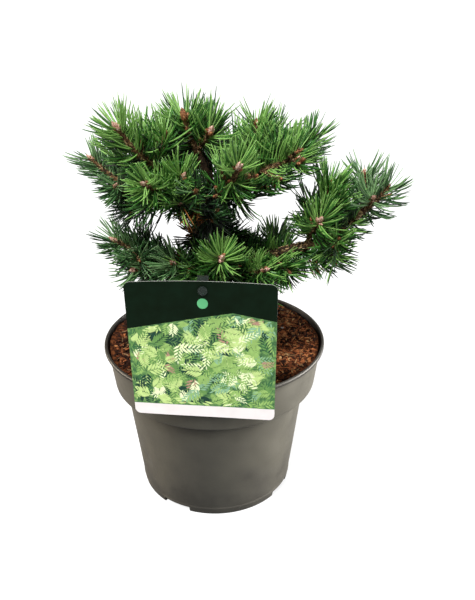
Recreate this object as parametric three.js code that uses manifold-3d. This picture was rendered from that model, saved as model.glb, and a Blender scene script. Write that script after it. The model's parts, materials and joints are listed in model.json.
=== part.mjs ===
// A young mugo pine growing in a round nursery pot, with its picture card on a plastic stake.
// Millimetres, +Z up. The origin is the centre of the pot's flat underside, and -Y is the front.
// Bearings turn about +Z from +X (right) towards +Y (back); a rise is the angle above the horizontal.
import * as THREE from "three";
import { mergeVertices } from "three/addons/utils/BufferGeometryUtils.js";
import Module from "manifold-3d";

// ---------------------------------------------------------------- driving sizes
const CLEARANCE = 0.3; // between any two neighbouring solids

const POT_HEIGHT = 163;
const POT_SEGMENTS = 44;
const LIP_RADIUS = 110;
const LIP_HEIGHT = 4;
const COLLAR_TOP_RADIUS = 107;
const COLLAR_BOTTOM_RADIUS = 101.6;
const COLLAR_HEIGHT = 43.4;
const BODY_TOP_RADIUS = 91.8;
const BODY_BOTTOM_RADIUS = 78;
const BASE_RING_HEIGHT = 9;
const BASE_RING_PROUD = 1;
const POT_WALL = 1.9;
const POT_FLOOR = 3;
const NOTCH_COUNT = 4;
const NOTCH_FIRST_BEARING = -120;
const NOTCH_WIDTH = 30;
const NOTCH_HEIGHT = 6;
const NOTCH_DEPTH = 9;

const SOIL_LEVEL = 152;
const SOIL_RELIEF = 3;
const SOIL_FLAT_RADIUS = 22; // level patch that the trunk's foot stands on

const TRUNK_SIDES = 10;
const TRUNK_STATIONS = [
  // height above the soil, x, y, radius
  [0, -6, 4, 12.5],
  [5, -6, 4, 10.2],
  [18, -6.3, 3.4, 9],
  [50, -7.6, 1.6, 8.2],
  [83, -8, 0, 7.4],
  [103, -5, 0, 6.9],
  [120, -1, -0.2, 6.5],
  [135, 2, -0.4, 6.2],
  [150, 1, -1, 5.7],
  [166, -2, -2, 5],
  [182, -7, -3.5, 4.2],
  [198, -12, -5, 3.4],
];

const LIMB_SIDES = 7;
const LIMB_STEPS = 6;
const TWIG_SIDES = 5; // and as many needles stand round a twig at each step of its length
const TWIG_STEPS = 2;
const TWIG_RADIUS = 1.9;
const TWIG_LIFT = 24; // degrees by which a shoot turns up along its length
const SIDE_STEM_BACK = 6; // a side stem's foot is this far before its bough's tip
const SIDE_STEM_GAP = 2.6; // and its middle this far off the bough's skin
const BUD_LENGTH = 9;
const BUD_RADIUS = 2.5;
const CORE_WALL = 1.6; // of a core round a limb

const NEEDLE_LENGTH = 33;
const NEEDLE_PITCH = 6.2; // along a shoot, from one ring of needles to the next
const NEEDLE_TWIST = 14; // degrees by which each ring is turned from the one before
const NEEDLE_UPTURN = 0.28; // how strongly needles turn up towards the light
const NEEDLE_SHORTEST = 0.4; // of its length, for a needle cut short by its neighbours
const SHOOT_LEAN = [74, 24]; // of needles from the shoot's line, at its foot and beside its bud
const CORE_LEAN = [72, 56]; // the same, on a core round a limb
const CORE_PITCH = 8;
const NEEDLE_SPACE = 0.6; // kept free beside a needle
const GOLDEN_ANGLE = 137.508;

const CARD_WIDTH = 123;
const CARD_HEIGHT = 126.5;
const CARD_THICKNESS = 0.8;
const CARD_CORNER_RADIUS = 5;
const CARD_CENTRE_X = 5.2;
const CARD_CENTRE_Z = 206.5;
const CARD_BEARING = -6; // turn of card and stake about the pot's axis
const STAKE_X = 6.6;
const STAKE_WIDTH = 9;
const STAKE_THICKNESS = 1.6;
const STAKE_TOP = 277;
const STAKE_FOOT = 124;
const STAKE_LEAN = 4.4; // degrees, its top towards the card
const BUTTON_Z = 264.6;
const BUTTON_RADIUS = 4;
const BUTTON_THICKNESS = 1.2;
const PEG_RADIUS = 2.4;
const PEG_SIDES = 16;

// Limbs that leave the trunk: node, height above the soil where they start, bearing, rise, length,
// lift and turn (degrees by which they bend up and round along their length), radius at the foot and
// at the far end, and how many of the limb's steps are bare wood before its mass of needles begins.
const BOUGHS = [
  ["upper_left_bough", 160, -147, 24, 68, 15, 0, 4.2, 2.4, 3],
  ["upper_left_outer_bough", 145, 175, 2, 73, 20, 0, 4.2, 2.4, 3],
  ["upper_front_left_bough", 151, -131, 16, 56, 15, 0, 3.8, 2.2, 3],
  ["upper_front_bough", 142, -105, 20, 42, 20, 0, 3.6, 2.2, 2],
  ["upper_front_right_bough", 156, -69, 16, 40, 20, 0, 3.4, 2.2, 3],
  ["upper_right_bough", 165, -20, 18, 54, 10, 0, 4.2, 2.4, 3],
  ["upper_back_right_bough", 158, 47, 18, 52, 20, 0, 4, 2.3, 3],
  ["upper_back_bough", 168, 93, 19, 46, 20, 0, 3.8, 2.2, 3],
  ["upper_back_left_bough", 154, 137, 16, 60, 15, 0, 4, 2.3, 3],
  ["lower_left_bough", 78, -170, 20, 40, 10, 0, 4.2, 2.6, 3],
  ["lower_front_left_bough", 84, -123, 16, 29, 20, 0, 3.2, 2.2, 3],
  ["lower_front_bough", 95, -76, 8, 34, 15, 0, 3.6, 2.4, 3],
  ["lower_front_right_bough", 70, -45, 21, 50, 10, 0, 3.6, 2.3, 3],
  ["lower_right_bough", 85, -30, 22, 107, -5, 25, 5.4, 3.8, 6],
  ["lower_back_left_bough", 63, 126, -4, 38, 5, 0, 3.6, 2.3, 3],
  ["lower_back_right_bough", 70, 47, 2, 49, 10, 0, 3.8, 2.3, 3],
];
// The long low bough goes on past its bend: the same values, without a height.
const OUTER_BOUGH = ["lower_right_outer_bough", -5, 17, 56, 26, 32, 3.6, 2.5, 6];

// Masses of needles. Each grows on the tip of a limb, with a stem (bearing, rise, length) and
// leading shoots: how far along the stem they leave it, bearing, rise, length.
// "more" is how many further shoots the seeded rule tries to add.
const MASSES = [
  {
    name: "top_needles",
    on: "trunk",
    stem: [-151, 69, 33],
    shoots: [
      [0.05, -49, 46, 27],
      [0.15, 122, 31, 34],
      [0.15, 49, 34, 34],
      [0.2, 178, 22, 30],
    ],
    more: 0,
  },
  {
    name: "upper_left_needles",
    on: "upper_left_bough",
    stem: [-157, 49, 45],
    shoots: [
      [0.55, -5, 70, 30],
      [0.65, 112, 36, 30],
      [0.6, 175, 6, 35],
    ],
    more: 0,
  },
  {
    name: "upper_left_outer_needles",
    on: "upper_left_outer_bough",
    stem: [168, 33, 53],
    shoots: [
      [0.62, -105, 20, 45],
      [0.7, 128, 20, 34],
      [0.4, -120, -14, 30],
      [0.3, 167, -20, 34],
    ],
    more: 1,
  },
  {
    name: "upper_front_left_needles",
    on: "upper_front_left_bough",
    stem: [-121, 23, 42],
    shoots: [
      [0.55, -128, -4, 31],
      [0.45, -80, 1, 29],
      [0.6, -50, 45, 24],
    ],
    more: 0,
  },
  {
    name: "upper_front_needles",
    on: "upper_front_bough",
    stem: [-96, 31, 38],
    shoots: [
      [0.4, -109, 14, 30],
      [0.3, -76, -8, 26],
    ],
    more: 1,
  },
  {
    name: "upper_front_right_needles",
    on: "upper_front_right_bough",
    stem: [-73, 38, 47],
    shoots: [
      [0.6, -12, 8, 30],
      [0.5, -116, 0, 18],
      [0.7, -110, 50, 24],
      [0.3, -44, 2, 25],
    ],
    more: 1,
  },
  {
    name: "upper_right_needles",
    on: "upper_right_bough",
    stem: [-9, 30, 37],
    shoots: [
      [0.85, -42, 10, 16],
      [0.75, 41, 20, 51],
      [0.45, 89, 65, 45],
      [0.6, -57, -2, 27],
      [0.35, -56, -11, 23],
    ],
    more: 1,
  },
  {
    name: "upper_back_right_needles",
    on: "upper_back_right_bough",
    stem: [9, 36, 42],
    shoots: [
      [0.55, 78, 12, 38],
      [0.5, 114, 32, 34],
      [0.7, 38, -12, 36],
    ],
    more: 1,
  },
  {
    name: "upper_back_needles",
    on: "upper_back_bough",
    stem: [97, 30, 38],
    shoots: [
      [0.5, 50, 4, 38],
      [0.6, 150, 10, 32],
      [0.6, 92, -18, 38],
    ],
    more: 1,
  },
  {
    name: "upper_back_left_needles",
    on: "upper_back_left_bough",
    stem: [159, 28, 38],
    shoots: [
      [0.45, 100, 12, 42],
      [0.6, 140, -10, 40],
      [0.7, -170, 4, 28],
    ],
    more: 1,
  },
  {
    name: "lower_left_needles",
    on: "lower_left_bough",
    stem: [-176, 25, 55],
    shoots: [
      [0.62, -140, -1, 36],
      [0.7, 140, 26, 28],
      [0.5, 140, -14, 30],
      [0.35, -100, -8, 22],
    ],
    more: 1,
  },
  {
    name: "lower_front_left_needles",
    on: "lower_front_left_bough",
    stem: [-120, 26, 29],
    shoots: [
      [0.5, -165, -4, 24],
      [0.4, -80, -8, 20],
    ],
    more: 0,
  },
  {
    name: "lower_front_needles",
    on: "lower_front_bough",
    stem: [-78, 27, 44],
    shoots: [
      [0.55, -20, 0, 24],
      [0.5, -145, -2, 26],
      [0.4, -100, -18, 24],
    ],
    more: 0,
  },
  {
    name: "lower_front_right_needles",
    on: "lower_front_right_bough",
    stem: [-36, 22, 33],
    shoots: [
      [0.5, -85, -6, 28],
      [0.7, 0, 0, 28],
      [0.4, -20, -22, 30],
    ],
    more: 1,
  },
  {
    name: "lower_right_middle_needles",
    on: "lower_right_bough",
    side: 74, // the stem leaves the bough's upper side just before its tip
    stem: [10, 68, 56],
    shoots: [
      [0.1, -70, 42, 32],
      [0.35, 110, 26, 28],
      [0.5, -20, 30, 22],
    ],
    more: 1,
  },
  {
    name: "lower_right_tip_needles",
    on: "lower_right_outer_bough",
    stem: [18, 42, 32],
    shoots: [
      [0.1, -83, 42, 24],
      [0.15, 106, 70, 31],
    ],
    more: 0,
  },
  {
    name: "lower_back_left_needles",
    on: "lower_back_left_bough",
    stem: [124, 6, 34],
    shoots: [
      [0.5, 168, 0, 38],
      [0.6, 82, 0, 36],
    ],
    more: 1,
  },
  {
    name: "lower_back_right_needles",
    on: "lower_back_right_bough",
    stem: [58, 8, 36],
    shoots: [
      [0.5, 12, 4, 40],
      [0.6, 100, 2, 36],
    ],
    more: 1,
  },
];
// Masses that stand round a limb: a core cut clear of it, from one station of the limb to another,
// with needles on it, and shoots: station, bearing, rise, length.
const SLEEVES = [
  {
    name: "trunk_needles",
    on: "trunk",
    from: 5,
    to: 7,
    shoots: [
      [6, -105, 6, 24],
      [6, 175, -6, 16],
      [6, -10, -14, 18],
      [6, 80, 0, 28],
    ],
  },
  {
    name: "lower_right_inner_needles",
    on: "lower_right_bough",
    from: 2,
    to: 5,
    shoots: [
      [5, 10, -15, 36],
      [4, -60, -14, 26],
      [4, 80, 6, 30],
      [3, 110, -8, 30],
    ],
  },
  {
    name: "lower_right_outer_needles",
    on: "lower_right_outer_bough",
    from: 1,
    to: 5,
    shoots: [
      [2, 80, -4, 28],
      [3, -110, -12, 20],
      [4, 75, 20, 24],
      [2, -70, -50, 20],
    ],
  },
];
// Lanes left open through the crown, from front to back: x and z where y is 0, radius, and how far
// they drift in x and in z for each millimetre towards the back.
const OPEN_LANES = [
  [16, 371, 8, -0.01, -0.21],
  [23, 385, 8, 0, -0.19],
  [-50, 283, 7, -0.12, -0.35],
  [-38, 278, 10, -0.1, -0.36],
  [-31, 272, 8, -0.09, -0.37],
  [37, 297, 7, 0.02, -0.33],
  [49, 299, 9, 0.04, -0.33],
  [60, 300, 11, 0.06, -0.32],
  [73, 302, 10, 0.08, -0.32],
  [83, 310, 9, 0.1, -0.31],
  [91, 320, 9, 0.11, -0.29],
];

const COLOURS = {
  pot: [0x3a3937, 0.55],
  soil: [0x4a2c1c, 0.95],
  bark: [0x5b4334, 0.9],
  needles: [0x3c6e2e, 0.6],
  card: [0x1d3d2b, 0.4],
  stake: [0xb9c4c6, 0.3],
};

// ---------------------------------------------------------------- small helpers
const wasm = await Module();
wasm.setup();

const radians = THREE.MathUtils.degToRad;
const lerp = THREE.MathUtils.lerp;

// A repeatable random number source: the same seed gives the same numbers on every run.
function randomSource(seed) {
  let state = seed >>> 0;
  return () => {
    state = (state + 0x6d2b79f5) >>> 0;
    let t = state;
    t = Math.imul(t ^ (t >>> 15), t | 1);
    t ^= t + Math.imul(t ^ (t >>> 7), t | 61);
    return ((t ^ (t >>> 14)) >>> 0) / 4294967296;
  };
}

function direction(bearing, rise) {
  const flat = Math.cos(radians(rise));
  return new THREE.Vector3(
    flat * Math.cos(radians(bearing)),
    flat * Math.sin(radians(bearing)),
    Math.sin(radians(rise)),
  );
}

// Points along a limb that leaves `start` and bends evenly up (lift) and round (turn).
function arcPath(start, bearing, rise, length, lift, turn, steps) {
  const points = [start.clone()];
  for (let i = 0; i < steps; i += 1) {
    const t = (i + 0.5) / steps;
    const step = direction(bearing + turn * t, rise + lift * t);
    points.push(points[i].clone().addScaledVector(step, length / steps));
  }
  return points;
}

// A shoot's given bearing, rise and length are those of the straight line from foot to tip.
function shootPath(start, bearing, rise, length) {
  return arcPath(start, bearing, rise - TWIG_LIFT / 2, length, TWIG_LIFT, 0, TWIG_STEPS);
}

function pointAlong(path, t) {
  const place = t * (path.length - 1);
  const i = Math.min(Math.floor(place), path.length - 2);
  return path[i].clone().lerp(path[i + 1], place - i);
}

function tangentAt(path, i) {
  const before = path[Math.max(i - 1, 0)];
  const after = path[Math.min(i + 1, path.length - 1)];
  return after.clone().sub(before).normalize();
}

// One ring of points round each station of a path, each turned by `twist` degrees from the last.
function ringsAround(path, radii, sides, twist = 0) {
  let normal = new THREE.Vector3(1, 0, 0);
  if (Math.abs(tangentAt(path, 0).x) > 0.8) normal.set(0, 0, 1);
  return path.map((centre, i) => {
    const tangent = tangentAt(path, i);
    normal = normal.clone().addScaledVector(tangent, -normal.dot(tangent)).normalize();
    const binormal = tangent.clone().cross(normal);
    return Array.from({ length: sides }, (_, k) => {
      const angle = (2 * Math.PI * k) / sides + radians(twist * i);
      return centre
        .clone()
        .addScaledVector(normal, radii[i] * Math.cos(angle))
        .addScaledVector(binormal, radii[i] * Math.sin(angle));
    });
  });
}

// A closed solid through rings of points, with a flat face over the first and the last ring.
function solidOfRings(rings) {
  const sides = rings[0].length;
  const vertices = rings.flat().flatMap((p) => [p.x, p.y, p.z]);
  const triangles = [];
  for (let i = 0; i + 1 < rings.length; i += 1) {
    for (let k = 0; k < sides; k += 1) {
      const a = i * sides + k;
      const b = i * sides + ((k + 1) % sides);
      triangles.push(a, b, b + sides, a, b + sides, a + sides);
    }
  }
  const last = (rings.length - 1) * sides;
  for (let k = 1; k + 1 < sides; k += 1) {
    triangles.push(0, k + 1, k);
    triangles.push(last, last + k, last + k + 1);
  }
  return manifold(vertices, triangles);
}

function manifold(vertices, triangles) {
  return new wasm.Manifold(
    new wasm.Mesh({
      numProp: 3,
      vertProperties: new Float32Array(vertices),
      triVerts: new Uint32Array(triangles),
    }),
  );
}

// A closed three.js geometry as a solid.
function solidOf(geometry) {
  const bare = geometry.index ? geometry.toNonIndexed() : geometry.clone();
  bare.deleteAttribute("normal");
  bare.deleteAttribute("uv");
  const merged = mergeVertices(bare, 1e-3);
  return manifold(merged.attributes.position.array, merged.index.array);
}

// The largest body of a solid as a geometry: loose scraps go, and a sealed hollow is filled.
function geometryOf(solid) {
  const bodies = solid.decompose();
  const main = bodies.reduce((best, body) => (body.volume() > best.volume() ? body : best));
  const mesh = main.getMesh();
  const geometry = new THREE.BufferGeometry();
  geometry.setAttribute("position", new THREE.BufferAttribute(mesh.vertProperties, 3));
  geometry.setIndex(new THREE.BufferAttribute(mesh.triVerts, 1));
  return geometry;
}

const materials = Object.fromEntries(
  Object.entries(COLOURS).map(([name, [color, roughness]]) => [
    name,
    new THREE.MeshStandardMaterial({ name, color, roughness, metalness: 0 }),
  ]),
);

function addNode(parent, name, geometry, material) {
  const mesh = new THREE.Mesh(geometry, materials[material]);
  mesh.name = name;
  parent.add(mesh);
}

// ---------------------------------------------------------------- pot and soil
const COLLAR_FOOT = POT_HEIGHT - COLLAR_HEIGHT;

function bodyRadius(z) {
  return lerp(BODY_BOTTOM_RADIUS, BODY_TOP_RADIUS, z / COLLAR_FOOT);
}

function collarRadius(z) {
  return lerp(COLLAR_BOTTOM_RADIUS, COLLAR_TOP_RADIUS, (z - COLLAR_FOOT) / COLLAR_HEIGHT);
}

function lathe(profile, segments) {
  const points = profile.map(([radius, z]) => new THREE.Vector2(radius, z));
  return new THREE.LatheGeometry(points, segments).rotateX(Math.PI / 2);
}

function makePot() {
  const lipFoot = POT_HEIGHT - LIP_HEIGHT;
  const ledgeTop = COLLAR_FOOT + POT_WALL;
  const profile = [
    [0, 0],
    [bodyRadius(0) - 1, 0],
    [bodyRadius(0) + BASE_RING_PROUD, 1.2],
    [bodyRadius(BASE_RING_HEIGHT) + BASE_RING_PROUD, BASE_RING_HEIGHT],
    [bodyRadius(BASE_RING_HEIGHT), BASE_RING_HEIGHT + 0.8],
    [bodyRadius(COLLAR_FOOT), COLLAR_FOOT],
    [collarRadius(COLLAR_FOOT), COLLAR_FOOT],
    [collarRadius(lipFoot), lipFoot],
    [LIP_RADIUS - 0.5, lipFoot],
    [LIP_RADIUS, lipFoot + 1.6],
    [LIP_RADIUS - 1, POT_HEIGHT - 0.4],
    [LIP_RADIUS - 2.4, POT_HEIGHT],
    [collarRadius(POT_HEIGHT) - POT_WALL, POT_HEIGHT],
    [collarRadius(ledgeTop) - POT_WALL, ledgeTop],
    [bodyRadius(ledgeTop) - POT_WALL, ledgeTop],
    [bodyRadius(POT_FLOOR) - POT_WALL, POT_FLOOR],
    [0, POT_FLOOR],
  ];
  let pot = solidOf(lathe(profile, POT_SEGMENTS));
  for (let i = 0; i < NOTCH_COUNT; i += 1) {
    const bearing = radians(NOTCH_FIRST_BEARING + (360 / NOTCH_COUNT) * i);
    const notch = new THREE.BoxGeometry(2 * NOTCH_DEPTH, NOTCH_WIDTH, 2 * NOTCH_HEIGHT)
      .translate(BODY_BOTTOM_RADIUS + 2, 0, 0)
      .rotateZ(bearing);
    pot = pot.subtract(solidOf(notch));
  }
  return geometryOf(pot);
}

// Low humps of the bark mulch, level round the trunk and at the pot's wall.
function soilHump(x, y) {
  const r = Math.hypot(x, y);
  if (r < SOIL_FLAT_RADIUS + 1 || r > 100) return 0;
  return (
    SOIL_RELIEF * Math.sin(x / 17 + 1.3) * Math.cos(y / 21 - 0.4) +
    SOIL_RELIEF * 0.6 * Math.sin((x + y) / 11)
  );
}

function makeSoil(pocket) {
  const ledgeTop = COLLAR_FOOT + POT_WALL;
  const inset = POT_WALL + CLEARANCE + 0.1;
  const profile = [
    [0, POT_FLOOR + CLEARANCE],
    [bodyRadius(0) - 9, POT_FLOOR + CLEARANCE],
    [bodyRadius(8) - inset, 8.5],
    [bodyRadius(ledgeTop) - inset, ledgeTop + CLEARANCE],
    [collarRadius(ledgeTop) - inset, ledgeTop + CLEARANCE],
    [collarRadius(SOIL_LEVEL) - inset, SOIL_LEVEL],
    [88, SOIL_LEVEL],
    [70, SOIL_LEVEL],
    [50, SOIL_LEVEL],
    [35, SOIL_LEVEL],
    [SOIL_FLAT_RADIUS, SOIL_LEVEL],
    [0, SOIL_LEVEL],
  ];
  const geometry = lathe(profile, 24);
  const position = geometry.attributes.position;
  for (let i = 0; i < position.count; i += 1) {
    if (position.getZ(i) < SOIL_LEVEL - 1) continue;
    position.setZ(i, SOIL_LEVEL + soilHump(position.getX(i), position.getY(i)));
  }
  return geometryOf(solidOf(geometry).subtract(pocket));
}

// ---------------------------------------------------------------- card and stake
function onCardFrame(geometry) {
  return geometry.rotateZ(radians(CARD_BEARING));
}

// The card's back stands just clear of the pot's lip.
const CARD_BACK_Y = -(LIP_RADIUS + CLEARANCE);

function makeCard() {
  const w = CARD_WIDTH / 2;
  const h = CARD_HEIGHT / 2;
  const r = CARD_CORNER_RADIUS;
  const outline = new THREE.Shape();
  outline.moveTo(-w + r, -h);
  outline.lineTo(w - r, -h);
  outline.absarc(w - r, -h + r, r, -Math.PI / 2, 0);
  outline.lineTo(w, h - r);
  outline.absarc(w - r, h - r, r, 0, Math.PI / 2);
  outline.lineTo(-w + r, h);
  outline.absarc(-w + r, h - r, r, Math.PI / 2, Math.PI);
  outline.lineTo(-w, -h + r);
  outline.absarc(-w + r, -h + r, r, Math.PI, 1.5 * Math.PI);
  const hole = new THREE.Path();
  hole.absarc(STAKE_X - CARD_CENTRE_X, BUTTON_Z - CARD_CENTRE_Z, PEG_RADIUS + CLEARANCE, 0, 2 * Math.PI);
  outline.holes.push(hole);
  const geometry = new THREE.ExtrudeGeometry(outline, {
    depth: CARD_THICKNESS,
    bevelEnabled: false,
    curveSegments: 5,
  });
  geometry.rotateX(Math.PI / 2).translate(CARD_CENTRE_X, CARD_BACK_Y, CARD_CENTRE_Z);
  return geometryOf(solidOf(onCardFrame(geometry)));
}

// The flat blade leans against the card's back, and its peg and button hold the card.
function stakeSolid(grow) {
  const length = STAKE_TOP - STAKE_FOOT;
  const blade = new THREE.BoxGeometry(
    STAKE_WIDTH + 2 * grow,
    STAKE_THICKNESS + 2 * grow,
    length + 2 * grow,
  );
  const backY = CARD_BACK_Y + CLEARANCE + STAKE_THICKNESS / 2 + 0.3;
  blade.translate(0, 0, (STAKE_FOOT - BUTTON_Z + STAKE_TOP - BUTTON_Z) / 2);
  blade.rotateX(radians(STAKE_LEAN)).translate(STAKE_X, backY, BUTTON_Z);
  return solidOf(onCardFrame(blade));
}

function makeStake() {
  const front = CARD_BACK_Y - CARD_THICKNESS - CLEARANCE;
  const pegLength = CARD_THICKNESS + 2 * CLEARANCE + 2;
  const peg = new THREE.CylinderGeometry(PEG_RADIUS, PEG_RADIUS, pegLength, PEG_SIDES);
  peg.translate(STAKE_X, front + pegLength / 2 - 0.4, 0);
  peg.translate(0, 0, BUTTON_Z);
  const button = new THREE.CylinderGeometry(BUTTON_RADIUS, BUTTON_RADIUS, BUTTON_THICKNESS, PEG_SIDES);
  button.translate(STAKE_X, front - BUTTON_THICKNESS / 2, BUTTON_Z);
  return geometryOf(
    stakeSolid(0)
      .add(solidOf(onCardFrame(peg)))
      .add(solidOf(onCardFrame(button))),
  );
}

// ---------------------------------------------------------------- trunk and boughs
// A limb: the points of its middle line, its radius at each, and its sides.
const trunk = {
  name: "trunk",
  path: TRUNK_STATIONS.map(
    ([height, x, y]) =>
      new THREE.Vector3(x, y, SOIL_LEVEL + height + (height === 0 ? CLEARANCE : 0)),
  ),
  radii: TRUNK_STATIONS.map((station) => station[3]),
  sides: TRUNK_SIDES,
  wood: TRUNK_STATIONS.length - 1,
};

function trunkPoint(height) {
  const i = TRUNK_STATIONS.findIndex((station) => station[0] > height) - 1;
  const [low, high] = [TRUNK_STATIONS[i], TRUNK_STATIONS[i + 1]];
  const t = (height - low[0]) / (high[0] - low[0]);
  return trunk.path[i].clone().lerp(trunk.path[i + 1], t);
}

function evenTaper(first, last, steps) {
  return Array.from({ length: steps + 1 }, (_, i) => lerp(first, last, i / steps));
}

// Foot-to-tip values of a limb that bends evenly, with the steps of it that are bare wood.
function bough(name, start, [bearing, rise, length, lift, turn, first, last, wood]) {
  const path = arcPath(start, bearing, rise, length, lift, turn, LIMB_STEPS);
  return { name, path, radii: evenTaper(first, last, LIMB_STEPS), sides: LIMB_SIDES, wood };
}

const limbs = [trunk];
for (const [name, height, ...shape] of BOUGHS) {
  limbs.push(bough(name, trunkPoint(height), shape));
}

function limbNamed(name) {
  return limbs.find((limb) => limb.name === name);
}

function lastPoint(path) {
  return path[path.length - 1];
}

{
  const [name, ...shape] = OUTER_BOUGH;
  const inner = limbNamed("lower_right_bough").path;
  const onward = tangentAt(inner, inner.length - 1);
  const start = lastPoint(inner).clone().addScaledVector(onward, 2 * CLEARANCE);
  limbs.push(bough(name, start, shape));
}

function limbSolid(limb, grow) {
  const radii = limb.radii.map((radius) => radius + grow);
  return solidOfRings(ringsAround(limb.path, radii, limb.sides).slice(0, limb.wood + 1));
}

const trunkRoom = limbSolid(trunk, CLEARANCE + 0.1);

// ---------------------------------------------------------------- how masses grow
// A shoot is the points of its middle line and its radius at each, without its bud.
function shoot(path) {
  return { path, radii: path.map(() => TWIG_RADIUS) };
}

// The stem goes on along its limb from where the bare wood ends, and then to its own bud.
function stemOf(mass) {
  const { path, radii, wood } = limbNamed(mass.on);
  if (mass.side) {
    const end = path.length - 1;
    const foot = path[end].clone().addScaledVector(tangentAt(path, end), -SIDE_STEM_BACK);
    foot.addScaledVector(direction(mass.stem[0], mass.side), radii[end] + SIDE_STEM_GAP);
    return shoot(shootPath(foot, ...mass.stem));
  }
  // The foot's ring is tilted from the limb's end face, and its nearest corner is just clear of it.
  const [bearing, rise] = mass.stem;
  const onward = tangentAt(path, wood);
  const bends = wood + 1 < path.length;
  const next = bends ? path[wood + 1].clone().sub(path[wood]) : direction(bearing, rise - TWIG_LIFT / 4);
  const ahead = CLEARANCE + 0.1 + radii[wood] * Math.sin(onward.angleTo(next));
  const foot = path[wood].clone().addScaledVector(onward, ahead);
  const onLimb = [foot, ...path.slice(wood + 1)];
  const free = shootPath(lastPoint(onLimb), ...mass.stem).slice(1);
  return {
    path: [...onLimb, ...free],
    radii: [...radii.slice(wood), ...free.map(() => TWIG_RADIUS)],
  };
}

function primaryShoots(mass) {
  const stem = stemOf(mass);
  const sideShoots = mass.shoots.map(([along, ...line]) =>
    shoot(shootPath(pointAlong(stem.path, along), ...line)),
  );
  return [stem, ...sideShoots];
}

function sleeveShoots(sleeve) {
  const limb = limbNamed(sleeve.on);
  return sleeve.shoots.map(([station, bearing, rise, length]) => {
    const out = direction(bearing, rise);
    const foot = limb.path[station].clone();
    foot.addScaledVector(out, limb.radii[station] + CLEARANCE + CORE_WALL / 2);
    return shoot(shootPath(foot, bearing, rise, length));
  });
}

const masses = [
  ...MASSES.map((mass) => ({ ...mass, grown: primaryShoots(mass) })),
  ...SLEEVES.map((sleeve) => ({ ...sleeve, more: 0, grown: sleeveShoots(sleeve) })),
];
for (const mass of masses) {
  if (mass.to) mass.core = limbNamed(mass.on).path.slice(mass.from, mass.to + 1);
  mass.lines = mass.grown.map(({ path }) => path);
  if (mass.core) mass.lines.push(mass.core);
}

const segment = new THREE.Line3();
const nearest = new THREE.Vector3();

function distanceToPath(point, path) {
  let least = Infinity;
  for (let i = 0; i + 1 < path.length; i += 1) {
    segment.set(path[i], path[i + 1]);
    segment.closestPointToPoint(point, true, nearest);
    least = Math.min(least, nearest.distanceTo(point));
  }
  return least;
}

// How far a point lies outside the skin of a limb.
function outsideLimb(point, limb) {
  let least = Infinity;
  for (let i = 0; i < limb.wood; i += 1) {
    segment.set(limb.path[i], limb.path[i + 1]);
    segment.closestPointToPoint(point, true, nearest);
    const radius = Math.max(limb.radii[i], limb.radii[i + 1]);
    least = Math.min(least, nearest.distanceTo(point) - radius);
  }
  return least;
}

function inOpenLane(point) {
  return OPEN_LANES.some(([x, z, radius, across, down]) => {
    const dx = point.x - (x + across * point.y);
    const dz = point.z - (z + down * point.y);
    return Math.hypot(dx, dz) < radius;
  });
}

function behindCard(point) {
  const turn = radians(CARD_BEARING);
  const forward = point.x * Math.sin(turn) - point.y * Math.cos(turn);
  return point.z > STAKE_TOP + 8 || forward < LIP_RADIUS - 8;
}

// Whether a point, with this much room round it, touches nothing and is in its mass's own space,
// nearer to its own shoot's line than to any other shoot's.
function isFree(point, room, mass, line) {
  if (point.z < SOIL_LEVEL + 16 || inOpenLane(point) || !behindCard(point)) return false;
  if (limbs.some((limb) => outsideLimb(point, limb) < room + CLEARANCE)) return false;
  const own = distanceToPath(point, line);
  return masses.every((other) => {
    const margin = other === mass ? 0 : 2 * room;
    return other.lines.every((path) => path === line || distanceToPath(point, path) >= own + margin);
  });
}

// The seeded rule: further shoots leave the stem at the golden angle, wherever there is room.
function addShoots(mass, seed) {
  const random = randomSource(seed);
  const stem = mass.grown[0];
  for (let i = 0; i < mass.more; i += 1) {
    const along = lerp(0.35, 0.85, random());
    const bearing = GOLDEN_ANGLE * i + 360 * random();
    const rise = lerp(-10, 50, random());
    const length = lerp(20, 30, random());
    const path = shootPath(pointAlong(stem.path, along), bearing, rise, length);
    const clear = path.slice(1).every((point) => isFree(point, 6, mass, path));
    if (!clear) continue;
    mass.grown.push(shoot(path));
    mass.lines.push(path);
  }
}
masses.forEach((mass, i) => addShoots(mass, 101 + i));

// Stations at an even pitch along a path: the point, the tangent and the radius at each.
function stationsAlong(path, radii, pitch) {
  const reach = [0];
  path.slice(1).forEach((point, i) => reach.push(reach[i] + point.distanceTo(path[i])));
  const length = reach[path.length - 1];
  const count = Math.max(2, Math.round(length / pitch));
  const stations = Array.from({ length: count + 1 }, (_, k) => {
    const at = (length * k) / count;
    const i = Math.max(reach.findIndex((value) => value >= at - 1e-6) - 1, 0);
    const t = (at - reach[i]) / (reach[i + 1] - reach[i]);
    return { point: path[i].clone().lerp(path[i + 1], t), radius: lerp(radii[i], radii[i + 1], t) };
  });
  return { points: stations.map(({ point }) => point), radii: stations.map(({ radius }) => radius) };
}

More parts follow.
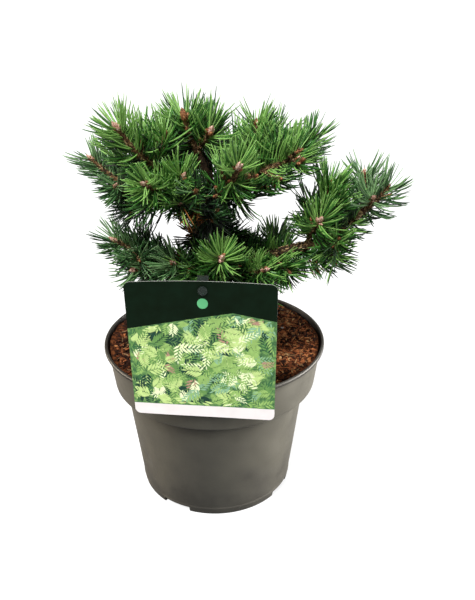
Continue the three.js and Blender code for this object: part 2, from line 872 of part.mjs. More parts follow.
// A brush: a twig of rings of points whose every side between two rings rises to a needle, where
// there is room for one. It starts with a flat foot and ends flat, or in a bud.
function brushSolid({ points, rings, lean, mass, line, random, bud }) {
  const sides = rings[0].length;
  const vertices = rings.flat().flatMap((p) => p.toArray());
  const triangles = [];
  const steps = rings.length - 1;
  const corner = (i, k) => i * sides + (k % sides);
  for (let i = 0; i < steps; i += 1) {
    const t = (i + 0.5) / steps;
    const axis = points[i + 1].clone().sub(points[i]).normalize();
    const middle = points[i].clone().lerp(points[i + 1], 0.5);
    for (let k = 0; k < sides; k += 1) {
      const [a, b, c, d] = [corner(i, k), corner(i, k + 1), corner(i + 1, k + 1), corner(i + 1, k)];
      const foot = rings[i][k].clone().add(rings[i][(k + 1) % sides]);
      foot.add(rings[i + 1][k]).add(rings[i + 1][(k + 1) % sides]).multiplyScalar(0.25);
      const radial = foot.clone().sub(middle);
      radial.addScaledVector(axis, -radial.dot(axis)).normalize();
      const angle = radians(lerp(lean[0], lean[1], t) + lerp(-2, 2, random()));
      const along = axis
        .clone()
        .multiplyScalar(Math.cos(angle))
        .addScaledVector(radial, Math.sin(angle))
        .add(new THREE.Vector3(0, 0, NEEDLE_UPTURN))
        .normalize();
      const size = freeLength(foot, along, NEEDLE_LENGTH * lerp(0.82, 1.06, random()), mass, line);
      if (size === 0) {
        triangles.push(a, b, c, a, c, d);
        continue;
      }
      const tip = vertices.length / 3;
      vertices.push(...foot.addScaledVector(along, size).toArray());
      triangles.push(a, b, tip, b, c, tip, c, d, tip, d, a, tip);
    }
  }
  for (let k = 1; k + 1 < sides; k += 1) triangles.push(0, k + 1, k);
  const last = corner(steps, 0);
  if (bud) {
    const end = vertices.length / 3;
    vertices.push(...bud.toArray());
    for (let k = 0; k < sides; k += 1) triangles.push(last + k, last + ((k + 1) % sides), end);
  } else {
    for (let k = 1; k + 1 < sides; k += 1) triangles.push(last, last + k, last + k + 1);
  }
  return manifold(vertices, triangles);
}

// The most of a needle's length that stays in its mass's own space, or 0 if that is too little.
function freeLength(foot, along, full, mass, line) {
  const samples = 8;
  for (let i = 2; i <= samples; i += 1) {
    const point = foot.clone().addScaledVector(along, (full * i) / samples);
    const room = NEEDLE_SPACE + 0.5 * TWIG_RADIUS * (1 - i / samples);
    if (!isFree(point, room, mass, line)) {
      const share = (i - 1) / samples;
      return share < NEEDLE_SHORTEST ? 0 : full * share;
    }
  }
  return full;
}

// A shoot's twig with its needles and the bud at its tip.
function shootSolid({ path, radii }, mass, random) {
  const stations = stationsAlong(path, radii, NEEDLE_PITCH);
  const ahead = tangentAt(path, path.length - 1);
  const bud = lastPoint(path).clone().addScaledVector(ahead, BUD_LENGTH);
  stations.radii[stations.radii.length - 1] = BUD_RADIUS;
  const rings = ringsAround(stations.points, stations.radii, TWIG_SIDES, NEEDLE_TWIST);
  const { points } = stations;
  return brushSolid({ points, rings, lean: SHOOT_LEAN, mass, line: path, random, bud });
}

// The core of a sleeve, with needles standing out of it, and the bore that keeps it off its limb.
function coreSolids(mass, random) {
  const { on, from, to, core } = mass;
  const limb = limbNamed(on);
  const inner = limb.radii.map((radius) => radius + CLEARANCE + 0.1);
  const outer = inner.map((radius) => radius + CORE_WALL).slice(from, to + 1);
  const bore = solidOfRings(ringsAround(limb.path, inner, limb.sides).slice(from - 1, to + 2));
  const stations = stationsAlong(core, outer, CORE_PITCH);
  const rings = ringsAround(stations.points, stations.radii, limb.sides);
  const { points } = stations;
  const brush = brushSolid({ points, rings, lean: CORE_LEAN, mass, line: core, random });
  return { brush, bore };
}

function makeMass(mass, seed) {
  const random = randomSource(seed);
  const brushes = mass.grown.map((grown) => shootSolid(grown, mass, random));
  if (!mass.core) return geometryOf(wasm.Manifold.union(brushes));
  const { brush, bore } = coreSolids(mass, random);
  return geometryOf(wasm.Manifold.union([brush, ...brushes]).subtract(bore));
}

// ---------------------------------------------------------------- the whole plant
const plant = new THREE.Group();
addNode(plant, "pot", makePot(), "pot");
addNode(plant, "soil", makeSoil(stakeSolid(CLEARANCE)), "soil");
addNode(plant, "picture_card", makeCard(), "card");
addNode(plant, "card_stake", makeStake(), "stake");
addNode(plant, "trunk", geometryOf(limbSolid(trunk, 0)), "bark");
for (const limb of limbs.slice(1)) {
  addNode(plant, limb.name, geometryOf(limbSolid(limb, 0).subtract(trunkRoom)), "bark");
}
masses.forEach((mass, i) => addNode(plant, mass.name, makeMass(mass, 501 + i), "needles"));

export default plant;
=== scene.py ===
"""Looks of a young mugo pine in its nursery pot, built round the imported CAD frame.

Growth is worked out in millimetres, in the frame's own axes, and scaled to metres as each mesh is made.
Bearings turn about +Z from +X (right) towards +Y (back); a rise is the angle above the horizontal.
"""

import json
import math

import bpy
import numpy as np
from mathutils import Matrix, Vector

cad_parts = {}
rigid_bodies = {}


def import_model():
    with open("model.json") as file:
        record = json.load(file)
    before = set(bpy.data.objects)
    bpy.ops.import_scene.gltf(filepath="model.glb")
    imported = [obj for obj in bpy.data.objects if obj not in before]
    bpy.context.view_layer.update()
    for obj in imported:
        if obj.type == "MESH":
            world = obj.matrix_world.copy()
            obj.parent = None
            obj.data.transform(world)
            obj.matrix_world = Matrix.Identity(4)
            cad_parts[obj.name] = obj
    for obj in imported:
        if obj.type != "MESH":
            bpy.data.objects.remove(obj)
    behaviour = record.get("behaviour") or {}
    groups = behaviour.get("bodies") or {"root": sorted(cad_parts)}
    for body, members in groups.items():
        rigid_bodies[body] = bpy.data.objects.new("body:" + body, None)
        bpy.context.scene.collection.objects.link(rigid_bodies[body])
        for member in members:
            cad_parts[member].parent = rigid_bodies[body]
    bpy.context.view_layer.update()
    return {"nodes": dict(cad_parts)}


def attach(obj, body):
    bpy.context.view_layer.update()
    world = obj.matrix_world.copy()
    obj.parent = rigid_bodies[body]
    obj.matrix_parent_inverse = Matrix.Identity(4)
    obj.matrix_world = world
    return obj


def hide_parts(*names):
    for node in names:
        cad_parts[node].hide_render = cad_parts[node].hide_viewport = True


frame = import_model()

MM = 0.001
UP = np.array([0.0, 0.0, 1.0])
GOLDEN_ANGLE = 137.508

# ---------------------------------------------------------------- sizes shared with the solids
CLEARANCE = 0.3
POT_HEIGHT = 163.0
LIP_RADIUS = 110.0
LIP_HEIGHT = 4.0
COLLAR_TOP_RADIUS = 107.0
COLLAR_BOTTOM_RADIUS = 101.6
COLLAR_HEIGHT = 43.4
BODY_TOP_RADIUS = 91.8
BODY_BOTTOM_RADIUS = 78.0
BASE_RING_HEIGHT = 9.0
POT_WALL = 1.9
POT_FLOOR = 3.0
NOTCH_BEARINGS = (-120, -30, 60, 150)
NOTCH_WIDTH = 30.0
NOTCH_HEIGHT = 6.0
NOTCH_DEPTH = 9.0
SOIL_LEVEL = 152.0
SOIL_RELIEF = 3.0
SOIL_FLAT_RADIUS = 22.0
CARD_WIDTH = 123.0
CARD_HEIGHT = 126.5
CARD_THICKNESS = 0.8
CARD_CORNER_RADIUS = 5.0
CARD_CENTRE_X = 5.2
CARD_CENTRE_Z = 206.5
CARD_BEARING = -6.0
CARD_BACK_Y = -(LIP_RADIUS + CLEARANCE)
STAKE_TOP = 277.0

LIMB_STEPS = 6
TWIG_STEPS = 2
TWIG_RADIUS = 1.9
TWIG_LIFT = 24
SIDE_STEM_BACK = 6.0
SIDE_STEM_GAP = 2.6
# Room that a further shoot keeps from wood and from other masses, and its height over the soil.
SHOOT_ROOM = 6.0
SHOOT_OVER_SOIL = 16.0
# How far foliage stays above the stake's top, or else behind the card's back.
CARD_ROOM = 8.0

# The trunk's stations: height above the soil, x, y and radius.
TRUNK_STATIONS = (
    (0, -6, 4, 12.5),
    (5, -6, 4, 10.2),
    (18, -6.3, 3.4, 9),
    (50, -7.6, 1.6, 8.2),
    (83, -8, 0, 7.4),
    (103, -5, 0, 6.9),
    (120, -1, -0.2, 6.5),
    (135, 2, -0.4, 6.2),
    (150, 1, -1, 5.7),
    (166, -2, -2, 5),
    (182, -7, -3.5, 4.2),
    (198, -12, -5, 3.4),
)
# Each bough, named as its node is but without _bough: height on the trunk, bearing, rise, length, lift,
# turn, radius at the foot and at the end, and how many of its steps are bare wood before its needles.
BOUGHS = {
    "upper_left": (160, -147, 24, 68, 15, 0, 4.2, 2.4, 3),
    "upper_left_outer": (145, 175, 2, 73, 20, 0, 4.2, 2.4, 3),
    "upper_front_left": (151, -131, 16, 56, 15, 0, 3.8, 2.2, 3),
    "upper_front": (142, -105, 20, 42, 20, 0, 3.6, 2.2, 2),
    "upper_front_right": (156, -69, 16, 40, 20, 0, 3.4, 2.2, 3),
    "upper_right": (165, -20, 18, 54, 10, 0, 4.2, 2.4, 3),
    "upper_back_right": (158, 47, 18, 52, 20, 0, 4, 2.3, 3),
    "upper_back": (168, 93, 19, 46, 20, 0, 3.8, 2.2, 3),
    "upper_back_left": (154, 137, 16, 60, 15, 0, 4, 2.3, 3),
    "lower_left": (78, -170, 20, 40, 10, 0, 4.2, 2.6, 3),
    "lower_front_left": (84, -123, 16, 29, 20, 0, 3.2, 2.2, 3),
    "lower_front": (95, -76, 8, 34, 15, 0, 3.6, 2.4, 3),
    "lower_front_right": (70, -45, 21, 50, 10, 0, 3.6, 2.3, 3),
    "lower_right": (85, -30, 22, 107, -5, 25, 5.4, 3.8, 6),
    "lower_back_left": (63, 126, -4, 38, 5, 0, 3.6, 2.3, 3),
    "lower_back_right": (70, 47, 2, 49, 10, 0, 3.8, 2.3, 3),
}
# The bough that goes on from the end of the lower right one, and its shape from its bearing onwards.
OUTER_BOUGH = "lower_right_outer"
OUTER_SHAPE = (-5, 17, 56, 26, 32, 3.6, 2.5, 6)

# Each mass, named as its node is but without _needles: its limb, how many more shoots the seeded rule
# tries to add, its stem (bearing, rise, length), and its leading shoots (how far along the stem they
# leave it, bearing, rise, length).
MASSES = {
    "top": ("trunk", 0, (-151, 69, 33),
            ((0.05, -49, 46, 27), (0.15, 122, 31, 34), (0.15, 49, 34, 34), (0.2, 178, 22, 30))),
    "upper_left": ("upper_left", 0, (-157, 49, 45),
                   ((0.55, -5, 70, 30), (0.65, 112, 36, 30), (0.6, 175, 6, 35))),
    "upper_left_outer": ("upper_left_outer", 1, (168, 33, 53),
                         ((0.62, -105, 20, 45), (0.7, 128, 20, 34), (0.4, -120, -14, 30),
                          (0.3, 167, -20, 34))),
    "upper_front_left": ("upper_front_left", 0, (-121, 23, 42),
                         ((0.55, -128, -4, 31), (0.45, -80, 1, 29), (0.6, -50, 45, 24))),
    "upper_front": ("upper_front", 1, (-96, 31, 38),
                    ((0.4, -109, 14, 30), (0.3, -76, -8, 26))),
    "upper_front_right": ("upper_front_right", 1, (-73, 38, 47),
                          ((0.6, -12, 8, 30), (0.5, -116, 0, 18), (0.7, -110, 50, 24), (0.3, -44, 2, 25))),
    "upper_right": ("upper_right", 1, (-9, 30, 37),
                    ((0.85, -42, 10, 16), (0.75, 41, 20, 51), (0.45, 89, 65, 45), (0.6, -57, -2, 27),
                     (0.35, -56, -11, 23))),
    "upper_back_right": ("upper_back_right", 1, (9, 36, 42),
                         ((0.55, 78, 12, 38), (0.5, 114, 32, 34), (0.7, 38, -12, 36))),
    "upper_back": ("upper_back", 1, (97, 30, 38),
                   ((0.5, 50, 4, 38), (0.6, 150, 10, 32), (0.6, 92, -18, 38))),
    "upper_back_left": ("upper_back_left", 1, (159, 28, 38),
                        ((0.45, 100, 12, 42), (0.6, 140, -10, 40), (0.7, -170, 4, 28))),
    "lower_left": ("lower_left", 1, (-176, 25, 55),
                   ((0.62, -140, -1, 36), (0.7, 140, 26, 28), (0.5, 140, -14, 30), (0.35, -100, -8, 22))),
    "lower_front_left": ("lower_front_left", 0, (-120, 26, 29),
                         ((0.5, -165, -4, 24), (0.4, -80, -8, 20))),
    "lower_front": ("lower_front", 0, (-78, 27, 44),
                    ((0.55, -20, 0, 24), (0.5, -145, -2, 26), (0.4, -100, -18, 24))),
    "lower_front_right": ("lower_front_right", 1, (-36, 22, 33),
                          ((0.5, -85, -6, 28), (0.7, 0, 0, 28), (0.4, -20, -22, 30))),
    "lower_right_middle": ("lower_right", 1, (10, 68, 56),
                           ((0.1, -70, 42, 32), (0.35, 110, 26, 28), (0.5, -20, 30, 22))),
    "lower_right_tip": ("lower_right_outer", 0, (18, 42, 32),
                        ((0.1, -83, 42, 24), (0.15, 106, 70, 31))),
    "lower_back_left": ("lower_back_left", 1, (124, 6, 34),
                        ((0.5, 168, 0, 38), (0.6, 82, 0, 36))),
    "lower_back_right": ("lower_back_right", 1, (58, 8, 36),
                         ((0.5, 12, 4, 40), (0.6, 100, 2, 36))),
}
# The mass whose stem leaves the upper side of its bough, and the rise at which it does.
SIDE_STEM = ("lower_right_middle", 74)
# Masses round a limb: the limb, its first and last station, and shoots (station, bearing, rise, length).
SLEEVES = {
    "trunk": ("trunk", 5, 7,
              ((6, -105, 6, 24), (6, 175, -6, 16), (6, -10, -14, 18), (6, 80, 0, 28))),
    "lower_right_inner": ("lower_right", 2, 5,
                          ((5, 10, -15, 36), (4, -60, -14, 26), (4, 80, 6, 30), (3, 110, -8, 30))),
    "lower_right_outer": ("lower_right_outer", 1, 5,
                          ((2, 80, -4, 28), (3, -110, -12, 20), (4, 75, 20, 24), (2, -70, -50, 20))),
}

# ---------------------------------------------------------------- sizes of what only shows here
# Lanes left open through the crown, from front to back and somewhat wider than the solids' lanes: x
# and z where y is 0, radius, and how far they drift in x and in z for each millimetre backwards.
OPEN_LANES = (
    (16, 371, 8, -0.01, -0.21),
    (23, 385, 8, 0, -0.19),
    (-55, 284, 8, -0.12, -0.35),
    (-48, 282, 8, -0.12, -0.35),
    (-38, 278, 10, -0.1, -0.36),
    (-29, 272, 9.5, -0.09, -0.37),
    (29, 294, 6, 0.01, -0.33),
    (37, 297, 7, 0.02, -0.33),
    (49, 299, 9, 0.04, -0.33),
    (60, 300, 11, 0.06, -0.32),
    (73, 302, 10, 0.08, -0.32),
    (83, 310, 9, 0.1, -0.31),
    (91, 320, 9, 0.11, -0.29),
)
# Where the photo was taken from, and which way most light comes from.
VIEWPOINT = np.array([23.0, -622.0, 502.0])
TOWARDS_LIGHT = np.array([-0.25, -0.5, 0.83])


# ---------------------------------------------------------------- small helpers
def random_source(seed):
    """The same repeatable numbers as the solids' own random source."""
    state = seed & 0xFFFFFFFF

    def multiply(a, b):
        return (a * b) & 0xFFFFFFFF

    def draw():
        nonlocal state
        state = (state + 0x6D2B79F5) & 0xFFFFFFFF
        t = multiply(state ^ (state >> 15), state | 1)
        t ^= (t + multiply(t ^ (t >> 7), t | 61)) & 0xFFFFFFFF
        return ((t ^ (t >> 14)) & 0xFFFFFFFF) / 4294967296

    return draw


def lerp(a, b, t):
    return a + (b - a) * t


def unit(vectors):
    length = np.linalg.norm(vectors, axis=-1, keepdims=True)
    return vectors / np.maximum(length, 1e-9)


def direction(bearing, rise):
    flat = math.cos(math.radians(rise))
    angle = math.radians(bearing)
    return np.array([flat * math.cos(angle), flat * math.sin(angle), math.sin(math.radians(rise))])


def angles_round(count):
    """Evenly spread angles round a full turn."""
    return 2 * math.pi * np.arange(count) / count


def value_noise(points, scale, seed=0):
    """Smooth noise from 0 to 1 at each point, with features about `scale` apart."""
    p = np.asarray(points, float) / scale
    cell = np.floor(p).astype(np.int64)
    f = p - cell
    f = f * f * (3 - 2 * f)
    total = np.zeros(len(p))
    for corner in np.ndindex(2, 2, 2):
        n = (cell[:, 0] + corner[0]) * 374761393 + (cell[:, 1] + corner[1]) * 668265263
        n = (n + (cell[:, 2] + corner[2]) * 2147483647 + seed * 1274126177) & 0xFFFFFFFF
        n = ((n ^ (n >> 13)) * 1274126177) & 0xFFFFFFFF
        n = ((n ^ (n >> 16)) & 0xFFFFFF) / 0xFFFFFF
        total += n * np.where(corner, f, 1 - f).prod(1)
    return total


def point_along(path, t):
    place = t * (len(path) - 1)
    i = min(int(place), len(path) - 2)
    return lerp(path[i], path[i + 1], place - i)


def tangent_at(path, i):
    return unit(path[min(i + 1, len(path) - 1)] - path[max(i - 1, 0)])


def distances(points, path):
    """Distance of each point from a path, and the nearest segment's number."""
    best = np.full(len(points), np.inf)
    nearest = np.zeros(len(points), int)
    for i in range(len(path) - 1):
        along = path[i + 1] - path[i]
        t = np.clip((points - path[i]) @ along / (along @ along), 0, 1)
        gap = np.linalg.norm(points - path[i] - t[:, None] * along, axis=1)
        nearer = gap < best
        best[nearer] = gap[nearer]
        nearest[nearer] = i
    return best, nearest


# ---------------------------------------------------------------- limbs and shoots, as the solids grow
def arc_path(start, bearing, rise, length, lift, turn, steps):
    points = [np.asarray(start, float)]
    for i in range(steps):
        t = (i + 0.5) / steps
        points.append(points[-1] + direction(bearing + turn * t, rise + lift * t) * length / steps)
    return np.array(points)


def new_shoot(start, bearing, rise, length):
    """The path of a shoot, which lifts towards its tip, and its radii."""
    path = arc_path(start, bearing, rise - TWIG_LIFT / 2, length, TWIG_LIFT, 0, TWIG_STEPS)
    return path, np.full(len(path), TWIG_RADIUS)


def trunk_point(height):
    i = next(k for k, station in enumerate(TRUNK_STATIONS) if station[0] > height) - 1
    low, high = TRUNK_STATIONS[i], TRUNK_STATIONS[i + 1]
    t = (height - low[0]) / (high[0] - low[0])
    return lerp(LIMBS["trunk"]["path"][i], LIMBS["trunk"]["path"][i + 1], t)


def limb(path, radii, wood):
    return {"path": np.array(path), "radii": np.array(radii, float), "wood": wood}


def bough(start, shape):
    bearing, rise, length, lift, turn, first, last, wood = shape
    path = arc_path(start, bearing, rise, length, lift, turn, LIMB_STEPS)
    return limb(path, np.linspace(first, last, LIMB_STEPS + 1), wood)


LIMBS = {
    "trunk": limb(
        [(x, y, SOIL_LEVEL + height + CLEARANCE * (height == 0)) for height, x, y, _ in TRUNK_STATIONS],
        [station[3] for station in TRUNK_STATIONS],
        len(TRUNK_STATIONS) - 1,
    )
}
for bough_name, (foot_height, *bough_shape) in BOUGHS.items():
    LIMBS[bough_name] = bough(trunk_point(foot_height), bough_shape)
inner_path = LIMBS["lower_right"]["path"]
outer_foot = inner_path[-1] + tangent_at(inner_path, LIMB_STEPS) * 2 * CLEARANCE
LIMBS[OUTER_BOUGH] = bough(outer_foot, OUTER_SHAPE)


def stem_of(name, on, stem):
    """The path and radii of a mass's stem, which goes on along its limb to its own bud."""
    path, radii, wood = (LIMBS[on][key] for key in ("path", "radii", "wood"))
    if name == SIDE_STEM[0]:
        foot = path[-1] - tangent_at(path, len(path) - 1) * SIDE_STEM_BACK
        foot = foot + direction(stem[0], SIDE_STEM[1]) * (radii[-1] + SIDE_STEM_GAP)
        return new_shoot(foot, *stem)
    bearing, rise, _ = stem
    onward = tangent_at(path, wood)
    bends = wood + 1 < len(path)
    ahead = unit(path[wood + 1] - path[wood]) if bends else direction(bearing, rise - TWIG_LIFT / 4)
    tilt = math.acos(min(1.0, float(onward @ ahead)))
    foot = path[wood] + onward * (CLEARANCE + 0.1 + radii[wood] * math.sin(tilt))
    on_limb = np.vstack([foot[None], path[wood + 1 :]])
    free, free_radii = new_shoot(on_limb[-1], *stem)
    return np.vstack([on_limb, free[1:]]), np.append(radii[wood:], free_radii[1:])


def primary_shoots(name, on, stem, leads):
    path, radii = stem_of(name, on, stem)
    return [(path, radii)] + [new_shoot(point_along(path, along), *lead) for along, *lead in leads]


def sleeve_shoots(on, leads):
    path, radii = LIMBS[on]["path"], LIMBS[on]["radii"]
    shoots = []
    for station, *lead in leads:
        foot = path[station] + direction(*lead[:2]) * (radii[station] + CLEARANCE)
        shoots.append(new_shoot(foot, *lead))
    return shoots


def outside_wood(points):
    """How far each point lies outside the skin of the nearest limb."""
    least = np.full(len(points), np.inf)
    for item in LIMBS.values():
        path, radii, wood = item["path"], item["radii"], item["wood"]
        gap, i = distances(points, path[: wood + 1])
        least = np.minimum(least, gap - np.maximum(radii[i], radii[i + 1]))
    return least


def in_open_lane(points, shrink):
    """Whether points lie in an open lane, narrowed by shrink, which may be one value a point."""
    inside = np.zeros(len(points), bool)
    for x, z, radius, across, down in OPEN_LANES:
        dx = points[:, 0] - (x + across * points[:, 1])
        dz = points[:, 2] - (z + down * points[:, 1])
        inside |= np.hypot(dx, dz) < radius - shrink
    return inside


def behind_card(points):
    turn = math.radians(CARD_BEARING)
    forward = points[:, 0] * math.sin(turn) - points[:, 1] * math.cos(turn)
    return (points[:, 2] > STAKE_TOP + CARD_ROOM) | (forward < LIP_RADIUS - CARD_ROOM)


def in_the_clear(points, off_wood, off_soil, shrink=0.0):
    """Which points keep out of the wood, the mulch, the card and the open lanes."""
    clear = (points[:, 2] > SOIL_LEVEL + off_soil) & (outside_wood(points) > off_wood)
    return clear & behind_card(points) & ~in_open_lane(points, shrink)


def grow_masses():
    """Every mass: its name, its shoots, and the part of a limb that it stands round, if any."""
    masses = []
    for name, (on, more, stem, leads) in MASSES.items():
        shoots = primary_shoots(name, on, stem, leads)
        masses.append({"name": name, "on": on, "more": more, "shoots": shoots, "core": None})
    for name, (on, first, last, leads) in SLEEVES.items():
        core = tuple(LIMBS[on][key][first : last + 1] for key in ("path", "radii"))
        masses.append({"name": name, "on": on, "more": 0, "shoots": sleeve_shoots(on, leads), "core": core})
    for mass in masses:
        mass["lines"] = [path for path, _ in mass["shoots"]]
        if mass["core"]:
            mass["lines"].append(mass["core"][0])
    for number, mass in enumerate(masses):
        add_shoots(mass, masses, random_source(101 + number))
    return masses


def add_shoots(mass, masses, draw):
    """The solids' seeded rule: further shoots leave the stem at the golden angle, where there is room."""
    stem = mass["shoots"][0][0]
    for i in range(mass["more"]):
        along = lerp(0.35, 0.85, draw())
        bearing = GOLDEN_ANGLE * i + 360 * draw()
        rise = lerp(-10, 50, draw())
        length = lerp(20, 30, draw())
        path, radii = new_shoot(point_along(stem, along), bearing, rise, length)
        if has_room(path, mass, masses):
            mass["shoots"].append((path, radii))
            mass["lines"].append(path)


def has_room(path, mass, masses):
    """Whether a shoot beyond its foot is free, and nearer to its own line than to any other mass's."""
    points = path[1:]
    if not in_the_clear(points, SHOOT_ROOM + CLEARANCE, SHOOT_OVER_SOIL).all():
        return False
    own, _ = distances(points, path)
    others = [line for other in masses if other is not mass for line in other["lines"]]
    return all((distances(points, line)[0] > own + 2 * SHOOT_ROOM).all() for line in others)


# ---------------------------------------------------------------- meshes
class Joined:
    """One joined piece, gathered from many small shapes in millimetres."""

    def __init__(self):
        self.points, self.triangles, self.slots, self.count = [], [], [], 0

    def add(self, points, triangles, slot=0):
        triangles = np.asarray(triangles, int)
        self.points.append(np.asarray(points, float).reshape(-1, 3))
        self.triangles.append(triangles + self.count)
        self.slots.append(np.broadcast_to(slot, len(triangles)))
        self.count += len(self.points[-1])

    def add_many(self, points, pattern, slots=0):
        """Many shapes of one pattern of triangles, with a row of points each and one slot, or one each."""
        count = len(points)
        triangles = np.asarray(pattern) + points.shape[1] * np.arange(count)[:, None, None]
        slots = np.repeat(np.broadcast_to(slots, count), len(pattern))
        self.add(points, triangles.reshape(-1, 3), slots)

    def build(self, name, materials, smooth=True):
        points = np.concatenate(self.points) * MM
        triangles = np.concatenate(self.triangles)
        mesh = bpy.data.meshes.new(name)
        mesh.vertices.add(len(points))
        mesh.vertices.foreach_set("co", points.ravel())
        mesh.loops.add(triangles.size)
        mesh.loops.foreach_set("vertex_index", triangles.ravel().astype(np.int32))
        mesh.polygons.add(len(triangles))
        mesh.polygons.foreach_set("loop_start", np.arange(0, triangles.size, 3, dtype=np.int32))
        mesh.polygons.foreach_set("material_index", np.concatenate(self.slots).astype(np.int32))
        mesh.polygons.foreach_set("use_smooth", np.full(len(triangles), smooth))
        for item in materials:
            mesh.materials.append(item)
        mesh.update(calc_edges=True)
        mesh.validate()
        piece = bpy.data.objects.new(name, mesh)
        bpy.context.scene.collection.objects.link(piece)
        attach(piece, "root")
        return piece


def grid_triangles(rows, columns, wrap=True):
    """Triangles over a grid of rows of points, closed round its columns where `wrap` is set."""
    i, k = np.meshgrid(np.arange(rows - 1), np.arange(columns if wrap else columns - 1), indexing="ij")
    a = i * columns + k
    b = i * columns + (k + 1) % columns
    lower = np.stack([a, b, b + columns], -1).reshape(-1, 3)
    upper = np.stack([a, b + columns, a + columns], -1).reshape(-1, 3)
    return np.concatenate([lower, upper])


def fan(hub, ring):
    """Triangles from a hub to each side of a closed ring, all as numbers of points."""
    return np.stack([np.full(len(ring), hub), ring, np.roll(ring, -1)], -1)


def smooth_path(path, radii, step):
    """A smooth curve through the points, resampled every `step`, with its radii."""
    reach = np.append(0, np.cumsum(np.linalg.norm(np.diff(path, axis=0), axis=1)))
    straight = np.diff(path, axis=0).repeat(2, 0) / reach[-1]
    slope = np.gradient(path, reach, axis=0) if len(path) > 2 else straight
    at = np.linspace(0, reach[-1], max(3, int(round(reach[-1] / step)) + 1))
    i = np.clip(np.searchsorted(reach, at, side="right") - 1, 0, len(path) - 2)
    span = (reach[i + 1] - reach[i])[:, None]
    t = (at - reach[i])[:, None] / span
    curve = (2 * t**3 - 3 * t**2 + 1) * path[i] + (t**3 - 2 * t**2 + t) * span * slope[i]
    curve = curve + (3 * t**2 - 2 * t**3) * path[i + 1] + (t**3 - t**2) * span * slope[i + 1]
    return curve, np.interp(at, reach, radii)


def along_curve(values, t):
    """Values at the points of a curve, read off at each t from 0 to 1."""
    reach = np.linspace(0, 1, len(values))
    return np.stack([np.interp(t, reach, values[:, axis]) for axis in range(3)], -1)


def frames_along(path):
    """Tangent, normal and binormal at each point, carried along without twisting."""
    tangents = unit(np.gradient(path, axis=0))
    normal = UP if abs(tangents[0][0]) > 0.8 else np.array([1.0, 0.0, 0.0])
    normals = []
    for tangent in tangents:
        normal = unit(normal - tangent * (normal @ tangent))
        normals.append(normal)
    normals = np.array(normals)
    return tangents, normals, np.cross(tangents, normals)


def spokes_along(path, sides):
    """Directions outwards from each point of a path, evenly spread round it."""
    _, normals, binormals = frames_along(path)
    angle = angles_round(sides)[:, None]
    return normals[:, None] * np.cos(angle) + binormals[:, None] * np.sin(angle)


def tube(path, radius, sides, tip=None):
    """Points and triangles of a closed tube whose radius has a row for each ring, one value a point."""
    points = path[:, None] + spokes_along(path, sides) * radius[..., None]
    ends = np.array([path[0], path[-1] if tip is None else tip])
    ring = np.arange(sides)
    count = points.shape[0] * sides
    caps = [fan(count, ring[::-1]), fan(count + 1, ring + count - sides)]
    triangles = np.concatenate([grid_triangles(len(path), sides), *caps])
    return np.concatenate([points.reshape(-1, 3), ends]), triangles


# The relief of scaly bark: plates of two sizes and the cracks between them, drawn out along the limb,
# and how far a limb's foot stays swollen where it leaves what carries it.
BARK_STRETCH = np.array([1, 1, 0.6])
PLATE_SIZE, SMALL_PLATE_SIZE, CRACK_SPACING = 3.1, 1.5, 4.3
CRACK_WIDTH, CRACK_DEPTH = 0.16, 0.9
SWELL_REACH = 6.0


def bark_tube(path, radii, sides, step, relief, swell):
    """A limb with scaly relief, thicker where it leaves what carries it."""
    curve, radius = smooth_path(path, radii, step)
    run = np.linspace(0, 1, len(curve)) * np.linalg.norm(np.diff(curve, axis=0), axis=1).sum()
    radius = radius * (1 + swell * np.exp(-run / SWELL_REACH))
    skin = curve[:, None] + spokes_along(curve, sides) * radius[:, None, None]
    skin = skin.reshape(-1, 3) * BARK_STRETCH
    plates = value_noise(skin, PLATE_SIZE, 3) + 0.5 * value_noise(skin, SMALL_PLATE_SIZE, 4)
    cracks = np.abs(value_noise(skin, CRACK_SPACING, 5) - 0.5) * 2
    rough = relief * (plates - 0.75 - CRACK_DEPTH * np.exp(-((cracks / CRACK_WIDTH) ** 2)))
    return tube(curve, radius[:, None] + rough.reshape(len(curve), sides), sides)


# ---------------------------------------------------------------- materials
def srgb(code):
    """Linear colour of a six-digit hexadecimal sRGB colour."""
    channels = [int(code[i : i + 2], 16) / 255 for i in (0, 2, 4)]
    linear = [c / 12.92 if c <= 0.04045 else ((c + 0.055) / 1.055) ** 2.4 for c in channels]
    return (*linear, 1.0)


def shade(code, factor):
    return "".join(f"{int(int(code[i:i + 2], 16) * factor):02x}" for i in (0, 2, 4))


def set_inputs(node, **values):
    for name, value in values.items():
        node.inputs[name.replace("_", " ")].default_value = value


def new_material(name, roughness, specular=0.5):
    item = bpy.data.materials.new(name)
    item.use_nodes = True
    shader = item.node_tree.nodes["Principled BSDF"]
    shader.inputs["Roughness"].default_value = roughness
    shader.inputs["Specular IOR Level"].default_value = specular
    return item, shader


def noise_node(item, scale, detail=4.0, stretch=(1, 1, 1)):
    """Noise over the object's own coordinates, `scale` features a metre, as a node."""
    nodes, links = item.node_tree.nodes, item.node_tree.links
    place = nodes.new("ShaderNodeTexCoord")
    mapping = nodes.new("ShaderNodeMapping")
    noise = nodes.new("ShaderNodeTexNoise")
    set_inputs(mapping, Scale=stretch)
    set_inputs(noise, Scale=scale, Detail=detail)
    links.new(place.outputs["Object"], mapping.inputs["Vector"])
    links.new(mapping.outputs["Vector"], noise.inputs["Vector"])
    return noise


def ramp_colour(item, shader, noise, stops):
    """Base colour from noise through stops of (position, colour)."""
    ramp = item.node_tree.nodes.new("ShaderNodeValToRGB")
    while len(ramp.color_ramp.elements) < len(stops):
        ramp.color_ramp.elements.new(0.5)
    for element, (position, code) in zip(ramp.color_ramp.elements, stops):
        element.position = position
        element.color = srgb(code)
    item.node_tree.links.new(noise.outputs[0], ramp.inputs["Fac"])
    item.node_tree.links.new(ramp.outputs["Color"], shader.inputs["Base Color"])


